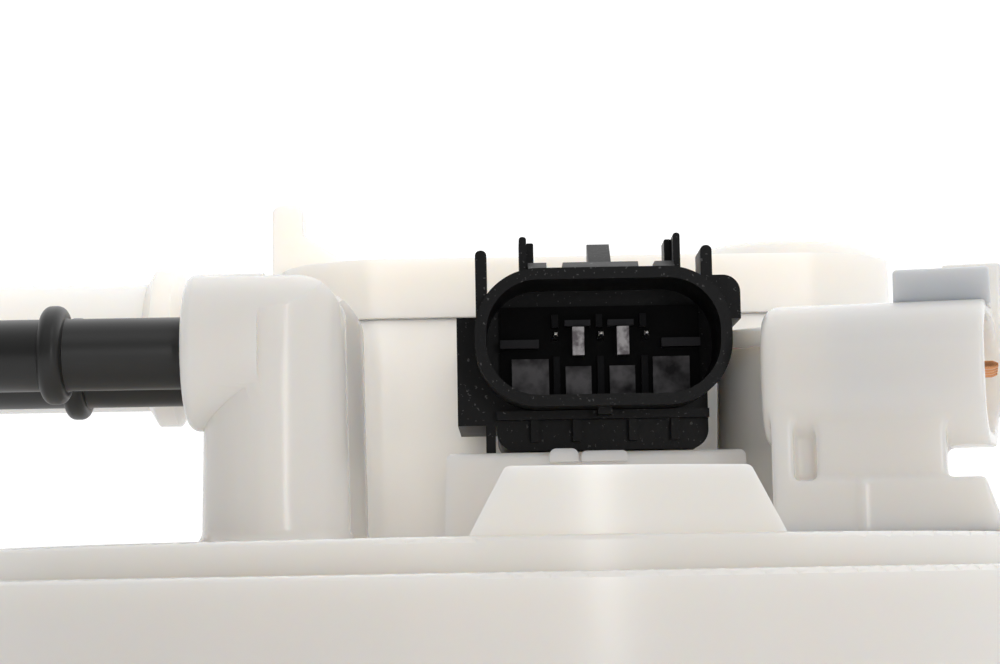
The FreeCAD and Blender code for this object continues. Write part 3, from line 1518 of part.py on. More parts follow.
def make_inlet_valve():
    """Rubber umbrella that covers the fill ports in the reservoir floor."""
    gap = size.slide_gap
    keep(turned("inlet_valve", [
        (0, reservoir_bottom + gap),
        (size.inlet_stem, reservoir_bottom + gap),
        (size.inlet_stem, floor_top + gap),
        (size.inlet_valve_radius, floor_top + gap),
        (size.inlet_valve_radius, floor_top + gap + size.bite),
        (0, floor_top + gap + size.bite * 2),
    ], 0, size.inlet_valve_y, 0), "inlet_valve")


def make_jet_pump():
    """Riser and nozzle that the returned fuel drives at the reservoir's foot."""
    low = floor_top + size.seat_gap
    top = size.reservoir_top + size.foot_height
    riser = cylinder("jet_riser", size.jet_radius, size.reservoir_top - size.cover_drop - low, size.jet_x,
                     size.jet_y, low)
    neck = cylinder("jet_neck", size.nipple_radius, top - low + size.outlet_rise, size.jet_x, size.jet_y, low)
    nozzle = cone("jet_nozzle", size.jet_radius, size.nipple_bore, size.jet_radius * 3, size.jet_x,
                  size.jet_y,
                  low + size.jet_radius, "X")
    bore = cylinder("jet_bore", size.nipple_bore, size.reservoir_height * 2, size.jet_x, size.jet_y,
                    low + size.jet_radius)
    jet = cylinder("jet_orifice", size.bite, size.jet_radius * 4, size.jet_x, size.jet_y,
                   low + size.jet_radius, "X")
    keep(cut("jet_pump", fuse("jet_solid", riser, neck, nozzle), bore, jet), "jet_pump")


# Tubes and leads between head and reservoir

def make_tubes():
    outer = size.nipple_radius + size.spigot_wall
    bore = size.nipple_radius + size.press_gap
    pump_nipple = size.pump_top + size.turret_height + size.outlet_rise
    start = pump_nipple - size.nipple_radius * 2
    coded("supply_tube", tube_along([
        (size.outlet_x, size.supply_y, start),
        (size.outlet_x, size.supply_y, pump_nipple + 22),
        (size.elbow_x, size.supply_y, size.nipple_end - 32),
        (size.elbow_x, size.supply_y, size.nipple_end + 8),
    ], outer, bore))
    jet_top = size.reservoir_top + size.foot_height + size.outlet_rise
    coded("return_tube", tube_along([
        (size.jet_x, size.jet_y, jet_top - 10),
        (size.jet_x, size.jet_y, jet_top + 14),
        (size.elbow_x, size.return_y, size.nipple_end - 24),
        (size.elbow_x, size.return_y, size.nipple_end + 8),
    ], outer, bore))


def main_leg(index):
    """Where a main terminal's leg comes down below the deck."""
    along = float(size.main_floor) - float(size.main_pin_size) * 2
    across = (index - 1.5) * float(size.main_pitch)
    turn = math.radians(float(size.main_turn))
    x = float(size.main_x) + along * math.cos(turn) - across * math.sin(turn)
    y = float(size.main_y) + along * math.sin(turn) + across * math.cos(turn)
    return x, y


def make_plug_and_leads():
    low = size.nipple_end
    block = plug_block("plug_block", 0)
    holes = [main_pin(f"plug_hole_{index}", index, size.press_gap) for index in range(4)]
    keep(turn_main(cut("lead_plug", block, *holes)), "lead_plug")
    blade_top = float(size.pump_top + size.turret_height * 1.9)
    bundles = []
    for index, blade_y in enumerate((-size.pin_pitch, size.pin_pitch)):
        x, y = main_leg(index)
        bundles.append(tube_along([
            (float(size.pin_pitch) + float(size.edge_round) + 1.2, float(blade_y), blade_top - 2),
            (float(size.pin_pitch) + 5, float(blade_y), blade_top + 16),
            (float(size.pin_pitch) + 16, float(blade_y) - 8 + 3 * index, blade_top + 40),
            (x, y, -18),
            (x, y, float(low) - 0.1),
        ], size.lead_radius))
    coded("pump_leads", Part.makeCompound(bundles))
    bundles = []
    sender_x = float(lead_x)
    for index in range(2):
        x, y = main_leg(index + 2)
        side = float(size.lead_y - size.lead_pitch * index)
        bundles.append(tube_along([
            (sender_x, side, float(size.pad_high) - 1.5),
            (sender_x, side, float(size.pad_high) + 28),
            (sender_x - 4, side - 5, float(size.pad_high) + 56),
            (x, y, -16),
            (x, y, float(low) - 0.1),
        ], size.lead_radius))
    coded("sender_leads", Part.makeCompound(bundles))


# Level sender, float arm and float

def make_sender():
    face = size.reservoir_radius + size.pad_reach
    half = size.sender_width / 2
    plate_half = half + size.sender_plate - size.press_gap
    low = size.pad_low + size.sender_plate + size.press_gap
    front = face + size.sender_depth
    plate = box("sender_plate", (face, -plate_half, low), (face + size.sender_plate, plate_half,
                                                           size.pad_high))
    block = box("sender_block", (face, -half + size.bite, low), (front, half - size.bite, size.pad_high))
    boss = cylinder("sender_boss", size.boss_radius, size.boss_length + size.bite, front - size.bite, 0,
                    size.pivot_z, "X")
    bore = cylinder("sender_bore", size.wire_radius + size.slide_gap, size.sender_depth * 2,
                    face + size.sender_plate, 0, size.pivot_z, "X")
    holes = [cylinder(f"lead_hole_{index}", size.lead_radius + size.slide_gap, size.foot_height, lead_x,
                      size.lead_y - size.lead_pitch * index, size.pad_high - size.foot_height / 2)
             for index in range(2)]
    keep(cut("sender_housing", fuse("sender_solid", plate, block, boss), bore, *holes), "sender_housing")
    card_low = size.pivot_z + size.boss_radius + size.bite
    keep(box("resistor_card", (front, -half + size.bite * 2, card_low),
             (front + size.card_wall, half - size.bite * 2, size.pad_high - size.bite)), "resistor_card")

    # Carrier, wiper and arm turn together about the pivot
    carrier_x = front + size.boss_length + size.slide_gap
    disc = cylinder("carrier_disc", size.boss_radius * 1.5, size.holder_wall, carrier_x, 0, size.pivot_z, "X")
    hub = cylinder("carrier_bore", size.wire_radius + size.press_gap, size.holder_wall * 2,
                   carrier_x - size.bite, 0, size.pivot_z, "X")
    lean = float(size.arm_swing) / 2
    reach = size.boss_radius * 4
    half_wing = size.boss_radius * 0.8
    wing = extruded("carrier_wing", [
        (-half_wing, 0),
        (half_wing, 0),
        (half_wing / 2, reach),
        (-half_wing / 2, reach),
    ], "YZ", carrier_x, size.holder_wall / 2, lean, size.pivot_z)
    wire_plane = carrier_x + size.holder_wall + size.wire_bend
    drop = float(size.arm_drop)
    end, near = size.boss_radius * -3.4, -size.wire_bend - size.wire_radius * 2
    half_grip = size.boss_radius / 2
    web = extruded("carrier_web", ring_corners(end, 0, -half_grip, half_grip), "YZ", carrier_x,
                   size.holder_wall, drop, size.pivot_z)
    grip = extruded("carrier_grip", ring_corners(end, near, -half_grip, half_grip), "YZ", carrier_x,
                    wire_plane - carrier_x + size.wire_radius / 2, drop, size.pivot_z)
    channel = cylinder("carrier_channel", size.wire_radius + size.press_gap, size.arm_length, wire_plane, 0,
                       size.pivot_z)
    channel.Placement = FreeCAD.Placement(channel.Placement.Base, FreeCAD.Rotation(AXIS_X, 90 + drop))
    keep(cut("wiper_carrier", fuse("carrier_solid", disc, wing, web, grip), hub, channel), "wiper_carrier")

    leaf_x = carrier_x - size.edge_round / 2 - size.slide_gap / 2
    leaf = extruded("wiper_leaf", ring_corners(-size.bite, size.bite, size.boss_radius * 2.2, reach),
                    "YZ", leaf_x, size.edge_round / 2, lean, size.pivot_z)
    tip_x = front + size.card_wall + size.slide_gap
    tip = extruded("wiper_tip", ring_corners(size.bite / -2, size.bite / 2, reach - size.bite * 3,
                                             reach - size.bite * 2),
                   "YZ", tip_x, leaf_x - tip_x + size.edge_round / 4, lean, size.pivot_z)
    keep(fuse("wiper", leaf, tip), "wiper")

    make_arm(face, wire_plane)


def make_arm(face, wire_plane):
    """Bent steel wire: pivot end, long run and float end, with the float that turns on it."""
    length = float(size.arm_length)
    plane = float(wire_plane)
    pivot = float(size.pivot_z)
    drop = math.radians(float(size.arm_drop))
    end_y, end_z = -length * math.cos(drop), pivot - length * math.sin(drop)
    float_left = plane - float(size.wire_radius) - float(size.wire_bend) - float(size.float_length)
    tail = float_left - float(size.float_play) - float(size.float_clip_wall) - 1.5
    points = [
        (float(face + size.sender_plate) + 1.0, 0, pivot),
        (plane, 0, pivot),
        (plane, end_y, end_z),
        (tail, end_y, end_z),
    ]
    coded("float_arm", bent_wire(points, float(size.wire_radius), float(size.wire_bend)))
    bore = float(size.wire_radius) + float(size.slide_gap)
    right = float_left + float(size.float_length)
    corners = [
        (bore, 0),
        (float(size.float_radius), 0, float(size.edge_round) * 3),
        (float(size.float_radius), float(size.float_length), float(size.edge_round) * 3),
        (bore, float(size.float_length)),
    ]
    keep(turned("level_float", corners, right, end_y, end_z, "-X"), "level_float")
    clip_x = float_left - float(size.float_play)
    clip = turned("float_clip", ring_corners(float(size.wire_radius) + float(size.press_gap),
                                             float(size.wire_radius) * 3, 0, float(size.float_clip_wall)),
                  clip_x, end_y, end_z, "-X")
    keep(clip, "float_clip")
    print(f"float axis y {end_y:.4f} z {end_z:.4f}, x {float_left:.3f} to {right:.3f}")


def bent_wire(points, radius, bend):
    """A round wire along straight runs with the same bend radius at each corner."""
    spots = [FreeCAD.Vector(*point) for point in points]
    edges, start = [], spots[0]
    for before, corner, after in zip(spots, spots[1:], spots[2:]):
        back, ahead = (before - corner).normalize(), (after - corner).normalize()
        reach = bend / math.tan(back.getAngle(ahead) / 2)
        near, far = corner + back * reach, corner + ahead * reach
        inward = ((near + far) * 0.5 - corner).normalize()
        middle = corner + inward * (math.hypot(reach, bend) - bend)
        edges += [Part.LineSegment(start, near).toShape(), Part.Arc(near, middle, far).toShape()]
        start = far
    edges.append(Part.LineSegment(start, spots[-1]).toShape())
    section = Part.Wire(Part.Circle(spots[0], spots[1] - spots[0], radius).toShape())
    return Part.Wire(edges).makePipeShell([section], True, True)


make_flange()
spigot("return_spigot", size.return_y, size.return_axis, size.return_spigot_radius, size.return_bead_radius,
       size.return_bead_x, size.return_tip_x)
spigot("supply_spigot", size.supply_y, size.supply_axis, size.supply_spigot_radius, size.supply_bead_radius,
       size.supply_bead_x, size.supply_tip_x)
make_vent()
make_sensor()
make_sensor_insert()
make_main_connector()
make_main_pins()
make_flange_seal()
make_rods()
make_springs()
make_reservoir()
make_cover()
make_pump()
make_strainer()
make_inlet_valve()
make_jet_pump()
make_tubes()
make_plug_and_leads()
make_sender()
doc.recompute()

failed = [item.Name for item in doc.Objects if "Invalid" in item.State or "Error" in item.State]
if failed:
    raise RuntimeError("these objects failed: " + ", ".join(failed))
os.makedirs("parts", exist_ok=True)
for item in pieces:
    if item.Shape.isNull() or not item.Shape.isValid():
        raise RuntimeError(item.Label + " has no valid shape")
for item in pieces:
    item.Shape.exportStep(f"parts/{item.Label}.step")
print(len(pieces), "sub-parts written")
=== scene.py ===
# %% [markdown]
# A fuel pump module hangs in a tank from a round flange. This lesson dresses its fixed frame:
# the frame gives every part's real place, and the cells below give each part its surface,
# its rounded edges and the fine detail that the plain solids leave out.

import json
import math

import bmesh
import bpy
from mathutils import Matrix, Vector
from mathutils.geometry import interpolate_bezier


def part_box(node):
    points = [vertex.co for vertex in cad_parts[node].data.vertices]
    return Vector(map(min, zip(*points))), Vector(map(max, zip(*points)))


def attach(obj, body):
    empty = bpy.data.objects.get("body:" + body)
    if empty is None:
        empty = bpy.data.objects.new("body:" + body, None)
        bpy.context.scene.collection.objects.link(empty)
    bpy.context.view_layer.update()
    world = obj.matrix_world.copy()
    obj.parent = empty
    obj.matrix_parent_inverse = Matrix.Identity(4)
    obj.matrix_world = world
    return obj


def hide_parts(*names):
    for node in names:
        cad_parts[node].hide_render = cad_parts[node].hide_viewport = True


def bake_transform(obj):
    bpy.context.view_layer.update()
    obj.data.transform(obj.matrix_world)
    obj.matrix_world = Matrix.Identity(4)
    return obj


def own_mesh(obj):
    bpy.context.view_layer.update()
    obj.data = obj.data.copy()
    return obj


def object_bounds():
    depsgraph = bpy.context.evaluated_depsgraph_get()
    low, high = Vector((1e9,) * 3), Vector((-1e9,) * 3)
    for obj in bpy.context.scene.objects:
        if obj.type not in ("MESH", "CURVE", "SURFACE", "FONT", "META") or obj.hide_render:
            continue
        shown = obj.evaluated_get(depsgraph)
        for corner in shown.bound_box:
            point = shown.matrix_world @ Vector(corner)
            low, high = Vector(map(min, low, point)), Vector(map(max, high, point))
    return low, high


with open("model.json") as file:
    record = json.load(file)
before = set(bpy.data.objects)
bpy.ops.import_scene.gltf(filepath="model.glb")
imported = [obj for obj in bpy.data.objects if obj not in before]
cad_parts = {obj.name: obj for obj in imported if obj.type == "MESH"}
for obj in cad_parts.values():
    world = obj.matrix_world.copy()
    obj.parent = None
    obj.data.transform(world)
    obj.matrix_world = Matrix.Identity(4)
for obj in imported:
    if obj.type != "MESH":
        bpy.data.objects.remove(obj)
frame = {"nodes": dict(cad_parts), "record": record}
cad_box = [[float(value) for value in corner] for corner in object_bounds()]
MM = 0.001
print("nodes in the frame:", len(frame["nodes"]))

# %% [markdown]
# The view is a close-up: the camera stands level with the flange's ledge, a hand's width in
# front of it, and looks slightly upwards. A long lens keeps the pipes nearly parallel.

# %% Camera
CAMERA_PLACE = Vector((0.0, -262.5, 18.0)) * MM
CAMERA_PITCH = math.radians(90 + 6.226)
CAMERA_ROLL = math.radians(-1.0)
LENS_MM = 79.2

camera_data = bpy.data.cameras.new("photo_camera")
camera_data.lens = LENS_MM
camera_data.sensor_width = 36.0
camera_data.clip_start = 0.01
camera = bpy.data.objects.new("photo_camera", camera_data)
bpy.context.scene.collection.objects.link(camera)
camera.matrix_world = (Matrix.Translation(CAMERA_PLACE)
                       @ Matrix.Rotation(CAMERA_PITCH, 4, "X")
                       @ Matrix.Rotation(CAMERA_ROLL, 4, "Z"))
bpy.context.scene.camera = camera

# %% [markdown]
# White plastic on white paper is a high-key picture. Most light comes from behind and from
# above, so the fronts stay a soft grey and the thin edges glow. The sky is a plain ramp from
# bright at the back to softer at the front, a little stronger on the right. One small lamp in
# front draws the upright streaks that the round walls show, a larger one above gives the
# shapes their direction, and weak warm lamps near the camera lift single mouldings that their
# neighbours keep in the shade. Light linking holds a lamp to the parts that it names.

# %% World and lamps
BACK_LIGHT = 1.10
FRONT_LIGHT = 0.17
SIDE_LIGHT = 0.15
SKY_LIGHT = 0.50


def math_node(nodes, links, operation, first, second):
    """A math node over two inputs, each a socket or a number; returns its output."""
    node = nodes.new("ShaderNodeMath")
    node.operation = operation
    for slot, value in enumerate((first, second)):
        if isinstance(value, (int, float)):
            node.inputs[slot].default_value = value
        else:
            links.new(value, node.inputs[slot])
    return node.outputs[0]


def make_world():
    world = bpy.data.worlds.new("studio")
    world.use_nodes = True
    nodes, links = world.node_tree.nodes, world.node_tree.links
    nodes.clear()
    place = nodes.new("ShaderNodeTexCoord")
    split = nodes.new("ShaderNodeSeparateXYZ")
    ramp = nodes.new("ShaderNodeMapRange")
    ramp.interpolation_type = "SMOOTHSTEP"
    ramp.inputs["From Min"].default_value = -0.5
    ramp.inputs["From Max"].default_value = 0.75
    ramp.inputs["To Min"].default_value = FRONT_LIGHT
    ramp.inputs["To Max"].default_value = BACK_LIGHT
    shade = nodes.new("ShaderNodeBackground")
    shade.inputs["Color"].default_value = (1.0, 1.0, 1.0, 1.0)
    out = nodes.new("ShaderNodeOutputWorld")
    links.new(place.outputs["Generated"], split.inputs[0])
    links.new(split.outputs["Y"], ramp.inputs["Value"])
    side = math_node(nodes, links, "MULTIPLY", split.outputs["X"], SIDE_LIGHT)
    high = math_node(nodes, links, "MAXIMUM", split.outputs["Z"], 0.0)
    sky = math_node(nodes, links, "MULTIPLY", high, SKY_LIGHT)
    total = math_node(nodes, links, "ADD", ramp.outputs["Result"], math_node(nodes, links, "ADD", side, sky))
    links.new(total, shade.inputs["Strength"])
    links.new(shade.outputs["Background"], out.inputs["Surface"])
    bpy.context.scene.world = world


def soft_lamp(name, place, aim, width, height, power, color=(1.0, 1.0, 1.0), only=()):
    """A rectangular lamp that faces a point; kept to a few named parts, it casts no shadow."""
    data = bpy.data.lights.new(name, "AREA")
    data.shape = "RECTANGLE"
    data.color = color
    data.size = width
    data.size_y = height
    data.energy = power
    lamp = bpy.data.objects.new(name, data)
    bpy.context.scene.collection.objects.link(lamp)
    lamp.location = place
    lamp.rotation_euler = (Vector(aim) - Vector(place)).to_track_quat("-Z", "Y").to_euler()
    if only:
        lit = bpy.data.collections.new(name + "_lights")
        for node in only:
            lit.objects.link(frame["nodes"][node])
        lamp.light_linking.receiver_collection = lit
        lamp.light_linking.blocker_collection = bpy.data.collections.new(name + "_blockers")


# %% Lamps
STREAK_SIDE = math.radians(18)
STREAK_AWAY = 1.3
HEAD_MIDDLE = (0.0, 0.0, 0.02)
VENT_MIDDLE = (0.01, 0.03, 0.045)
FILL_PLACE = (0.05, -0.60, 0.14)
WARM_WHITE = (1.0, 0.92, 0.82)
VENT_FILLS = {"vent_housing": 2.8, "vent_cover": 2.3}

make_world()
soft_lamp("streak", (STREAK_AWAY * math.sin(STREAK_SIDE), -STREAK_AWAY * math.cos(STREAK_SIDE), 0.12),
          HEAD_MIDDLE, 0.07, 0.30, 1.0,
          only=("flange", "vent_housing", "supply_spigot", "return_spigot", "sensor_body", "reservoir"))
soft_lamp("key", (0.30, -0.75, 0.95), HEAD_MIDDLE, 0.5, 0.5, 0.6)
soft_lamp("fill", FILL_PLACE, (0.01, 0.0, 0.03), 0.5, 0.4, 0.36, WARM_WHITE, ("flange",))
for node, power in VENT_FILLS.items():
    soft_lamp(node + "_fill", FILL_PLACE, VENT_MIDDLE, 0.5, 0.4, power, WARM_WHITE, (node,))
bpy.context.scene.view_settings.view_transform = "Standard"
print("lamps:", len(bpy.data.lights))

# %% [markdown]
# The module stands on plain white paper. One large square a fifth of a millimetre below its
# lowest point is enough, because the camera never sees the paper's edge from the front.

# %% Floor
FLOOR_SIZE = 6.0
FLOOR_GAP = 0.0002


def make_floor():
    bm = bmesh.new()
    bmesh.ops.create_grid(bm, x_segments=1, y_segments=1, size=FLOOR_SIZE / 2)
    bmesh.ops.translate(bm, verts=bm.verts, vec=(0.0, 0.0, cad_box[0][2] - FLOOR_GAP))
    mesh = bpy.data.meshes.new("floor")
    bm.to_mesh(mesh)
    bm.free()
    floor = bpy.data.objects.new("floor", mesh)
    bpy.context.scene.collection.objects.link(floor)
    paper = bpy.data.materials.new("paper")
    paper.use_nodes = True
    shader = paper.node_tree.nodes["Principled BSDF"]
    shader.inputs["Base Color"].default_value = (0.86, 0.86, 0.86, 1.0)
    shader.inputs["Roughness"].default_value = 0.8
    mesh.materials.append(paper)


make_floor()

# %% [markdown]
# Every finish starts from one Principled shader. A maker's surface is never one flat colour:
# noise at the scale of the mould's texture varies the colour and the gloss and lifts a fine
# bump. White acetal lets light through, so it scatters below its surface. Glass-filled nylon
# shows its fibres as sparse pale specks.

# %% Finish helpers
def link_range(nodes, links, source, low, high, to_low, to_high):
    """Maps a grey value between two numbers to another range; returns the output."""
    node = nodes.new("ShaderNodeMapRange")
    for socket, value in (("From Min", low), ("From Max", high), ("To Min", to_low), ("To Max", to_high)):
        node.inputs[socket].default_value = value
    links.new(source, node.inputs["Value"])
    return node.outputs["Result"]


def mix_colors(nodes, links, share, first, second):
    """Mixes two colours, each a socket or a triple, by a grey value; returns the output."""
    node = nodes.new("ShaderNodeMix")
    node.data_type = "RGBA"
    links.new(share, node.inputs[0])
    for slot, value in ((6, first), (7, second)):
        if isinstance(value, tuple):
            node.inputs[slot].default_value = (*value, 1.0)
        else:
            links.new(value, node.inputs[slot])
    return node.outputs[2]


def noise(nodes, links, place, scale, detail=2.0):
    """Noise of a scale per metre; returns its grey output."""
    node = nodes.new("ShaderNodeTexNoise")
    node.inputs["Scale"].default_value = scale
    node.inputs["Detail"].default_value = detail
    links.new(place, node.inputs["Vector"])
    return node.outputs[0]


def finish(name, color, rough, rough_spread=0.06, grain=900.0, height=0.00002, cloud=0.03,
           speck=0.0, sockets=()):
    """A moulded or metal surface: cloudy colour, uneven gloss, fine grain and, if asked, specks."""
    material = bpy.data.materials.new(name)
    material.use_nodes = True
    nodes, links = material.node_tree.nodes, material.node_tree.links
    shader = nodes["Principled BSDF"]
    place = nodes.new("ShaderNodeTexCoord").outputs["Object"]

    dark = tuple(part * (1 - cloud) for part in color)
    light = tuple(min(1.0, part * (1 + cloud)) for part in color)
    clouds = link_range(nodes, links, noise(nodes, links, place, 60.0, 3.0), 0.3, 0.7, 0.0, 1.0)
    tint = mix_colors(nodes, links, clouds, dark, light)
    if speck:
        spots = link_range(nodes, links, noise(nodes, links, place, 2600.0, 1.0), 0.69, 0.74, 0.0, 1.0)
        tint = mix_colors(nodes, links, spots, tint, (speck, speck, speck))
    links.new(tint, shader.inputs["Base Color"])

    patches = noise(nodes, links, place, 90.0)
    gloss = link_range(nodes, links, patches, 0.2, 0.8, rough - rough_spread, rough + rough_spread)
    links.new(gloss, shader.inputs["Roughness"])

    bump = nodes.new("ShaderNodeBump")
    bump.inputs["Strength"].default_value = 0.5
    bump.inputs["Distance"].default_value = height
    links.new(noise(nodes, links, place, grain), bump.inputs["Height"])
    links.new(bump.outputs["Normal"], shader.inputs["Normal"])
    for socket, value in dict(sockets).items():
        shader.inputs[socket].default_value = value
    return material


# %% [markdown]
# The whites are three plastics: the flange's bright acetal, the pot's natural acetal and the
# sender's yellower nylon. Their glow is a short scatter, longest in red. The blacks differ in
# gloss only. Metals are fully metallic, and their gloss tells zinc from spring wire.

# %% Finishes
ACETAL_GLOW = {"Subsurface Weight": 1.0, "Subsurface Scale": 0.0032,
               "Subsurface Radius": (1.0, 0.86, 0.70)}
METAL = {"Metallic": 1.0}
FINISHES = {
    "white_acetal": finish("white_acetal", (0.92, 0.89, 0.855), 0.22, 0.02, grain=1200.0, height=0.000006,
                           cloud=0.006, sockets=ACETAL_GLOW),
    "clear_acetal": finish("clear_acetal", (0.76, 0.79, 0.83), 0.30, 0.02, grain=1200.0, height=0.000006,
                           cloud=0.006, sockets=ACETAL_GLOW),
    "natural_acetal": finish("natural_acetal", (0.86, 0.84, 0.78), 0.38, sockets=ACETAL_GLOW),
    "natural_nylon": finish("natural_nylon", (0.80, 0.76, 0.66), 0.42, sockets=ACETAL_GLOW),
    "black_nylon": finish("black_nylon", (0.017, 0.017, 0.0165), 0.40, grain=1500.0, height=0.00001),
    "sensor_nylon": finish("sensor_nylon", (0.006, 0.006, 0.0065), 0.42, grain=1800.0,
                           height=0.00005, speck=0.08, sockets={"Specular IOR Level": 0.25}),
    "tinned_pin": finish("tinned_pin", (0.78, 0.76, 0.72), 0.22, sockets=METAL),
    "copper_pin": finish("copper_pin", (0.78, 0.36, 0.17), 0.25, sockets=METAL),
    "contact_brass": finish("contact_brass", (0.78, 0.60, 0.30), 0.3, sockets=METAL),
    "zinc_steel": finish("zinc_steel", (0.66, 0.67, 0.68), 0.24, sockets=METAL),
    "spring_steel": finish("spring_steel", (0.46, 0.46, 0.47), 0.30, sockets=METAL),
    "pump_steel": finish("pump_steel", (0.70, 0.69, 0.66), 0.3, sockets=METAL),
    "grey_plastic": finish("grey_plastic", (0.05, 0.052, 0.055), 0.5),
    "tube_nylon": finish("tube_nylon", (0.020, 0.020, 0.022), 0.32),
    "lead_insulation": finish("lead_insulation", (0.02, 0.02, 0.022), 0.45),
    "lead_red": finish("lead_red", (0.42, 0.02, 0.018), 0.42),
    "lead_yellow": finish("lead_yellow", (0.70, 0.47, 0.03), 0.42),
    "lead_violet": finish("lead_violet", (0.11, 0.045, 0.22), 0.42),
    "black_rubber": finish("black_rubber", (0.018, 0.018, 0.018), 0.62),
    "ferrite": finish("ferrite", (0.06, 0.058, 0.057), 0.55),
    "carbon": finish("carbon", (0.02, 0.02, 0.022), 0.5),
    "strainer_mesh": finish("strainer_mesh", (0.72, 0.70, 0.62), 0.7),
    "ceramic_card": finish("ceramic_card", (0.78, 0.77, 0.72), 0.3),
    "float_foam": finish("float_foam", (0.030, 0.028, 0.026), 0.75, grain=500.0, height=0.0002),
}
SLOTS = {entry["node"]: entry["material_slot"] for entry in frame["record"]["subparts"]}
print("finishes:", len(FINISHES))

# %% [markdown]
# The socket floor is one black moulding, and its steps carry painted reflections in their
# colour: the deep plate stays black, the rails and bars get a faint painted sheen, the four key
# blocks a cloudy painted sheen and the two pin fences a bright, crinkled painted highlight.
# Each step lies at its own depth, so the depth alone picks its painted tint.

# %% Socket floor
KEY_Y, RIB_Y, BAR_Y, FENCE_Y = -8.2, -8.7, -9.0, -10.1
STEP_MARGIN, STEP_BLUR = 0.12, 0.02


def socket_floor_painted_steps():
    material = finish("insert_nylon", (0.003, 0.003, 0.0035), 0.45, grain=1800.0, height=0.00004,
                      sockets={"Specular IOR Level": 0.12})
    nodes, links = material.node_tree.nodes, material.node_tree.links
    shader = nodes["Principled BSDF"]
    place = nodes.new("ShaderNodeTexCoord").outputs["Object"]
    split = nodes.new("ShaderNodeSeparateXYZ")
    links.new(place, split.inputs[0])
    tint = shader.inputs["Base Color"].links[0].from_socket
    # Painted reflection: a cloudy sheen on the key blocks, mixed into the base colour.
    painted_sheen = link_range(nodes, links, noise(nodes, links, place, 420.0, 3.0), 0.36, 0.66, 0.0, 1.0)
    key_painted_sheen = mix_colors(nodes, links, painted_sheen, (0.035, 0.033, 0.036), (0.26, 0.25, 0.26))
    # Painted highlight: bright crinkled light on the pin fences, mixed into the base colour.
    fence_highlight_noise = link_range(nodes, links, noise(nodes, links, place, 900.0, 4.0), 0.40, 0.60, 0.0, 1.0)
    fence_painted_highlight = mix_colors(nodes, links, fence_highlight_noise, (0.30, 0.27, 0.29), (0.85, 0.82, 0.84))
    # Painted reflection per step: a faint grey on ribs and bars, the painted sheen on keys and fences.
    for depth, color in ((KEY_Y, key_painted_sheen), (RIB_Y, (0.014, 0.014, 0.016)), (BAR_Y, (0.05, 0.05, 0.055)),
                         (FENCE_Y, fence_painted_highlight)):
        edge = (depth + STEP_MARGIN) * MM
        step = link_range(nodes, links, split.outputs["Y"], edge, edge - STEP_BLUR * MM, 0.0, 1.0)
        tint = mix_colors(nodes, links, step, tint, color)
    links.new(tint, shader.inputs["Base Color"])
    return material


# The socket floor's material carries the painted reflections of its steps.
FINISHES["insert_nylon"] = socket_floor_painted_steps()


# %% [markdown]
# The frame's solids arrive with sharp edges. Nothing moulded or stamped is that sharp, so
# each one is welded, its flat faces are joined and its edges are rounded a little. On the
# large mouldings the normals are weighted by face, so that the rounds shade evenly.

# %% Dress the frame
EDGE_ROUND = {"flange": 0.35, "reservoir": 0.35, "reservoir_cover": 0.3, "vent_housing": 0.4,
              "vent_cover": 0.4, "main_connector": 0.35, "sensor_body": 0.18, "socket_insert": 0.08,
              "sender_housing": 0.25, "jet_pump": 0.3, "outlet_cap": 0.25}
PLAIN_ROUND = 0.12
WELD_GAP = 0.000002
NORMAL_WEIGHT = 60
SMOOTH_ROUNDS = ("flange", "reservoir", "vent_housing", "vent_cover", "sensor_body")
SHARP_ANGLE = math.radians(35)


def dress_frame():
    """Give every carried-over part the finish of its own slot, and soft edges."""
    for node, item in frame["nodes"].items():
        item.data.materials.clear()
        item.data.materials.append(FINISHES[SLOTS[node]])
        weld = item.modifiers.new("weld", "WELD")
        weld.merge_threshold = WELD_GAP
        flat = item.modifiers.new("flat", "DECIMATE")
        flat.decimate_type = "DISSOLVE"
        flat.angle_limit = math.radians(1)
        edge = item.modifiers.new("edge", "BEVEL")
        edge.width = EDGE_ROUND.get(node, PLAIN_ROUND) * MM
        edge.segments = 2
        edge.limit_method = "ANGLE"
        edge.angle_limit = SHARP_ANGLE
        if node in SMOOTH_ROUNDS:
            edge.harden_normals = True
            even = item.modifiers.new("even", "WEIGHTED_NORMAL")
            even.weight = NORMAL_WEIGHT


dress_frame()

# %% [markdown]
# Every new piece is shown, slotted and made to ride on a body, and its CAD node is hidden, in
# the same few lines, so one helper does that. Two more turn a bmesh into a mesh with
# outward faces and rough out a box between two corners.

# %% Helpers for new pieces
def add_piece(name, mesh, body, slot, *stands_for):
    """Shows a mesh as a piece that rides on a body in the place of CAD nodes."""
    item = bpy.data.objects.new(name, mesh)
    bpy.context.scene.collection.objects.link(item)
    for face in mesh.polygons:
        face.use_smooth = True
    if not mesh.materials:
        mesh.materials.append(FINISHES[slot])
    if body:
        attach(item, body)
    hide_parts(*stands_for)
    return item


def mesh_from(name, bm):
    """Turns a bmesh into a mesh whose faces point outwards."""
    bmesh.ops.recalc_face_normals(bm, faces=bm.faces)
    mesh = bpy.data.meshes.new(name)
    bm.to_mesh(mesh)
    bm.free()
    return mesh


def add_block(bm, low, high):
    """A box between two corners; returns its vertices."""
    verts = bmesh.ops.create_cube(bm, size=1.0)["verts"]
    bmesh.ops.scale(bm, verts=verts, vec=[top - bottom for bottom, top in zip(low, high)])
    bmesh.ops.translate(bm, verts=verts, vec=[(top + bottom) / 2 for bottom, top in zip(low, high)])
    return verts


# %% [markdown]
# Each guide rod carries an open coil spring with closed ends: the wire circle is spun about
# the rod, one flat turn at each end and wide turns between. The small spring above the
# pump's check valve is made the same way.

# %% Springs
WIRE_SIDES = 12
TURN_STEPS = 28
SEAT_ROOM = 0.2 * MM
CLOSED_PITCH = 2.1


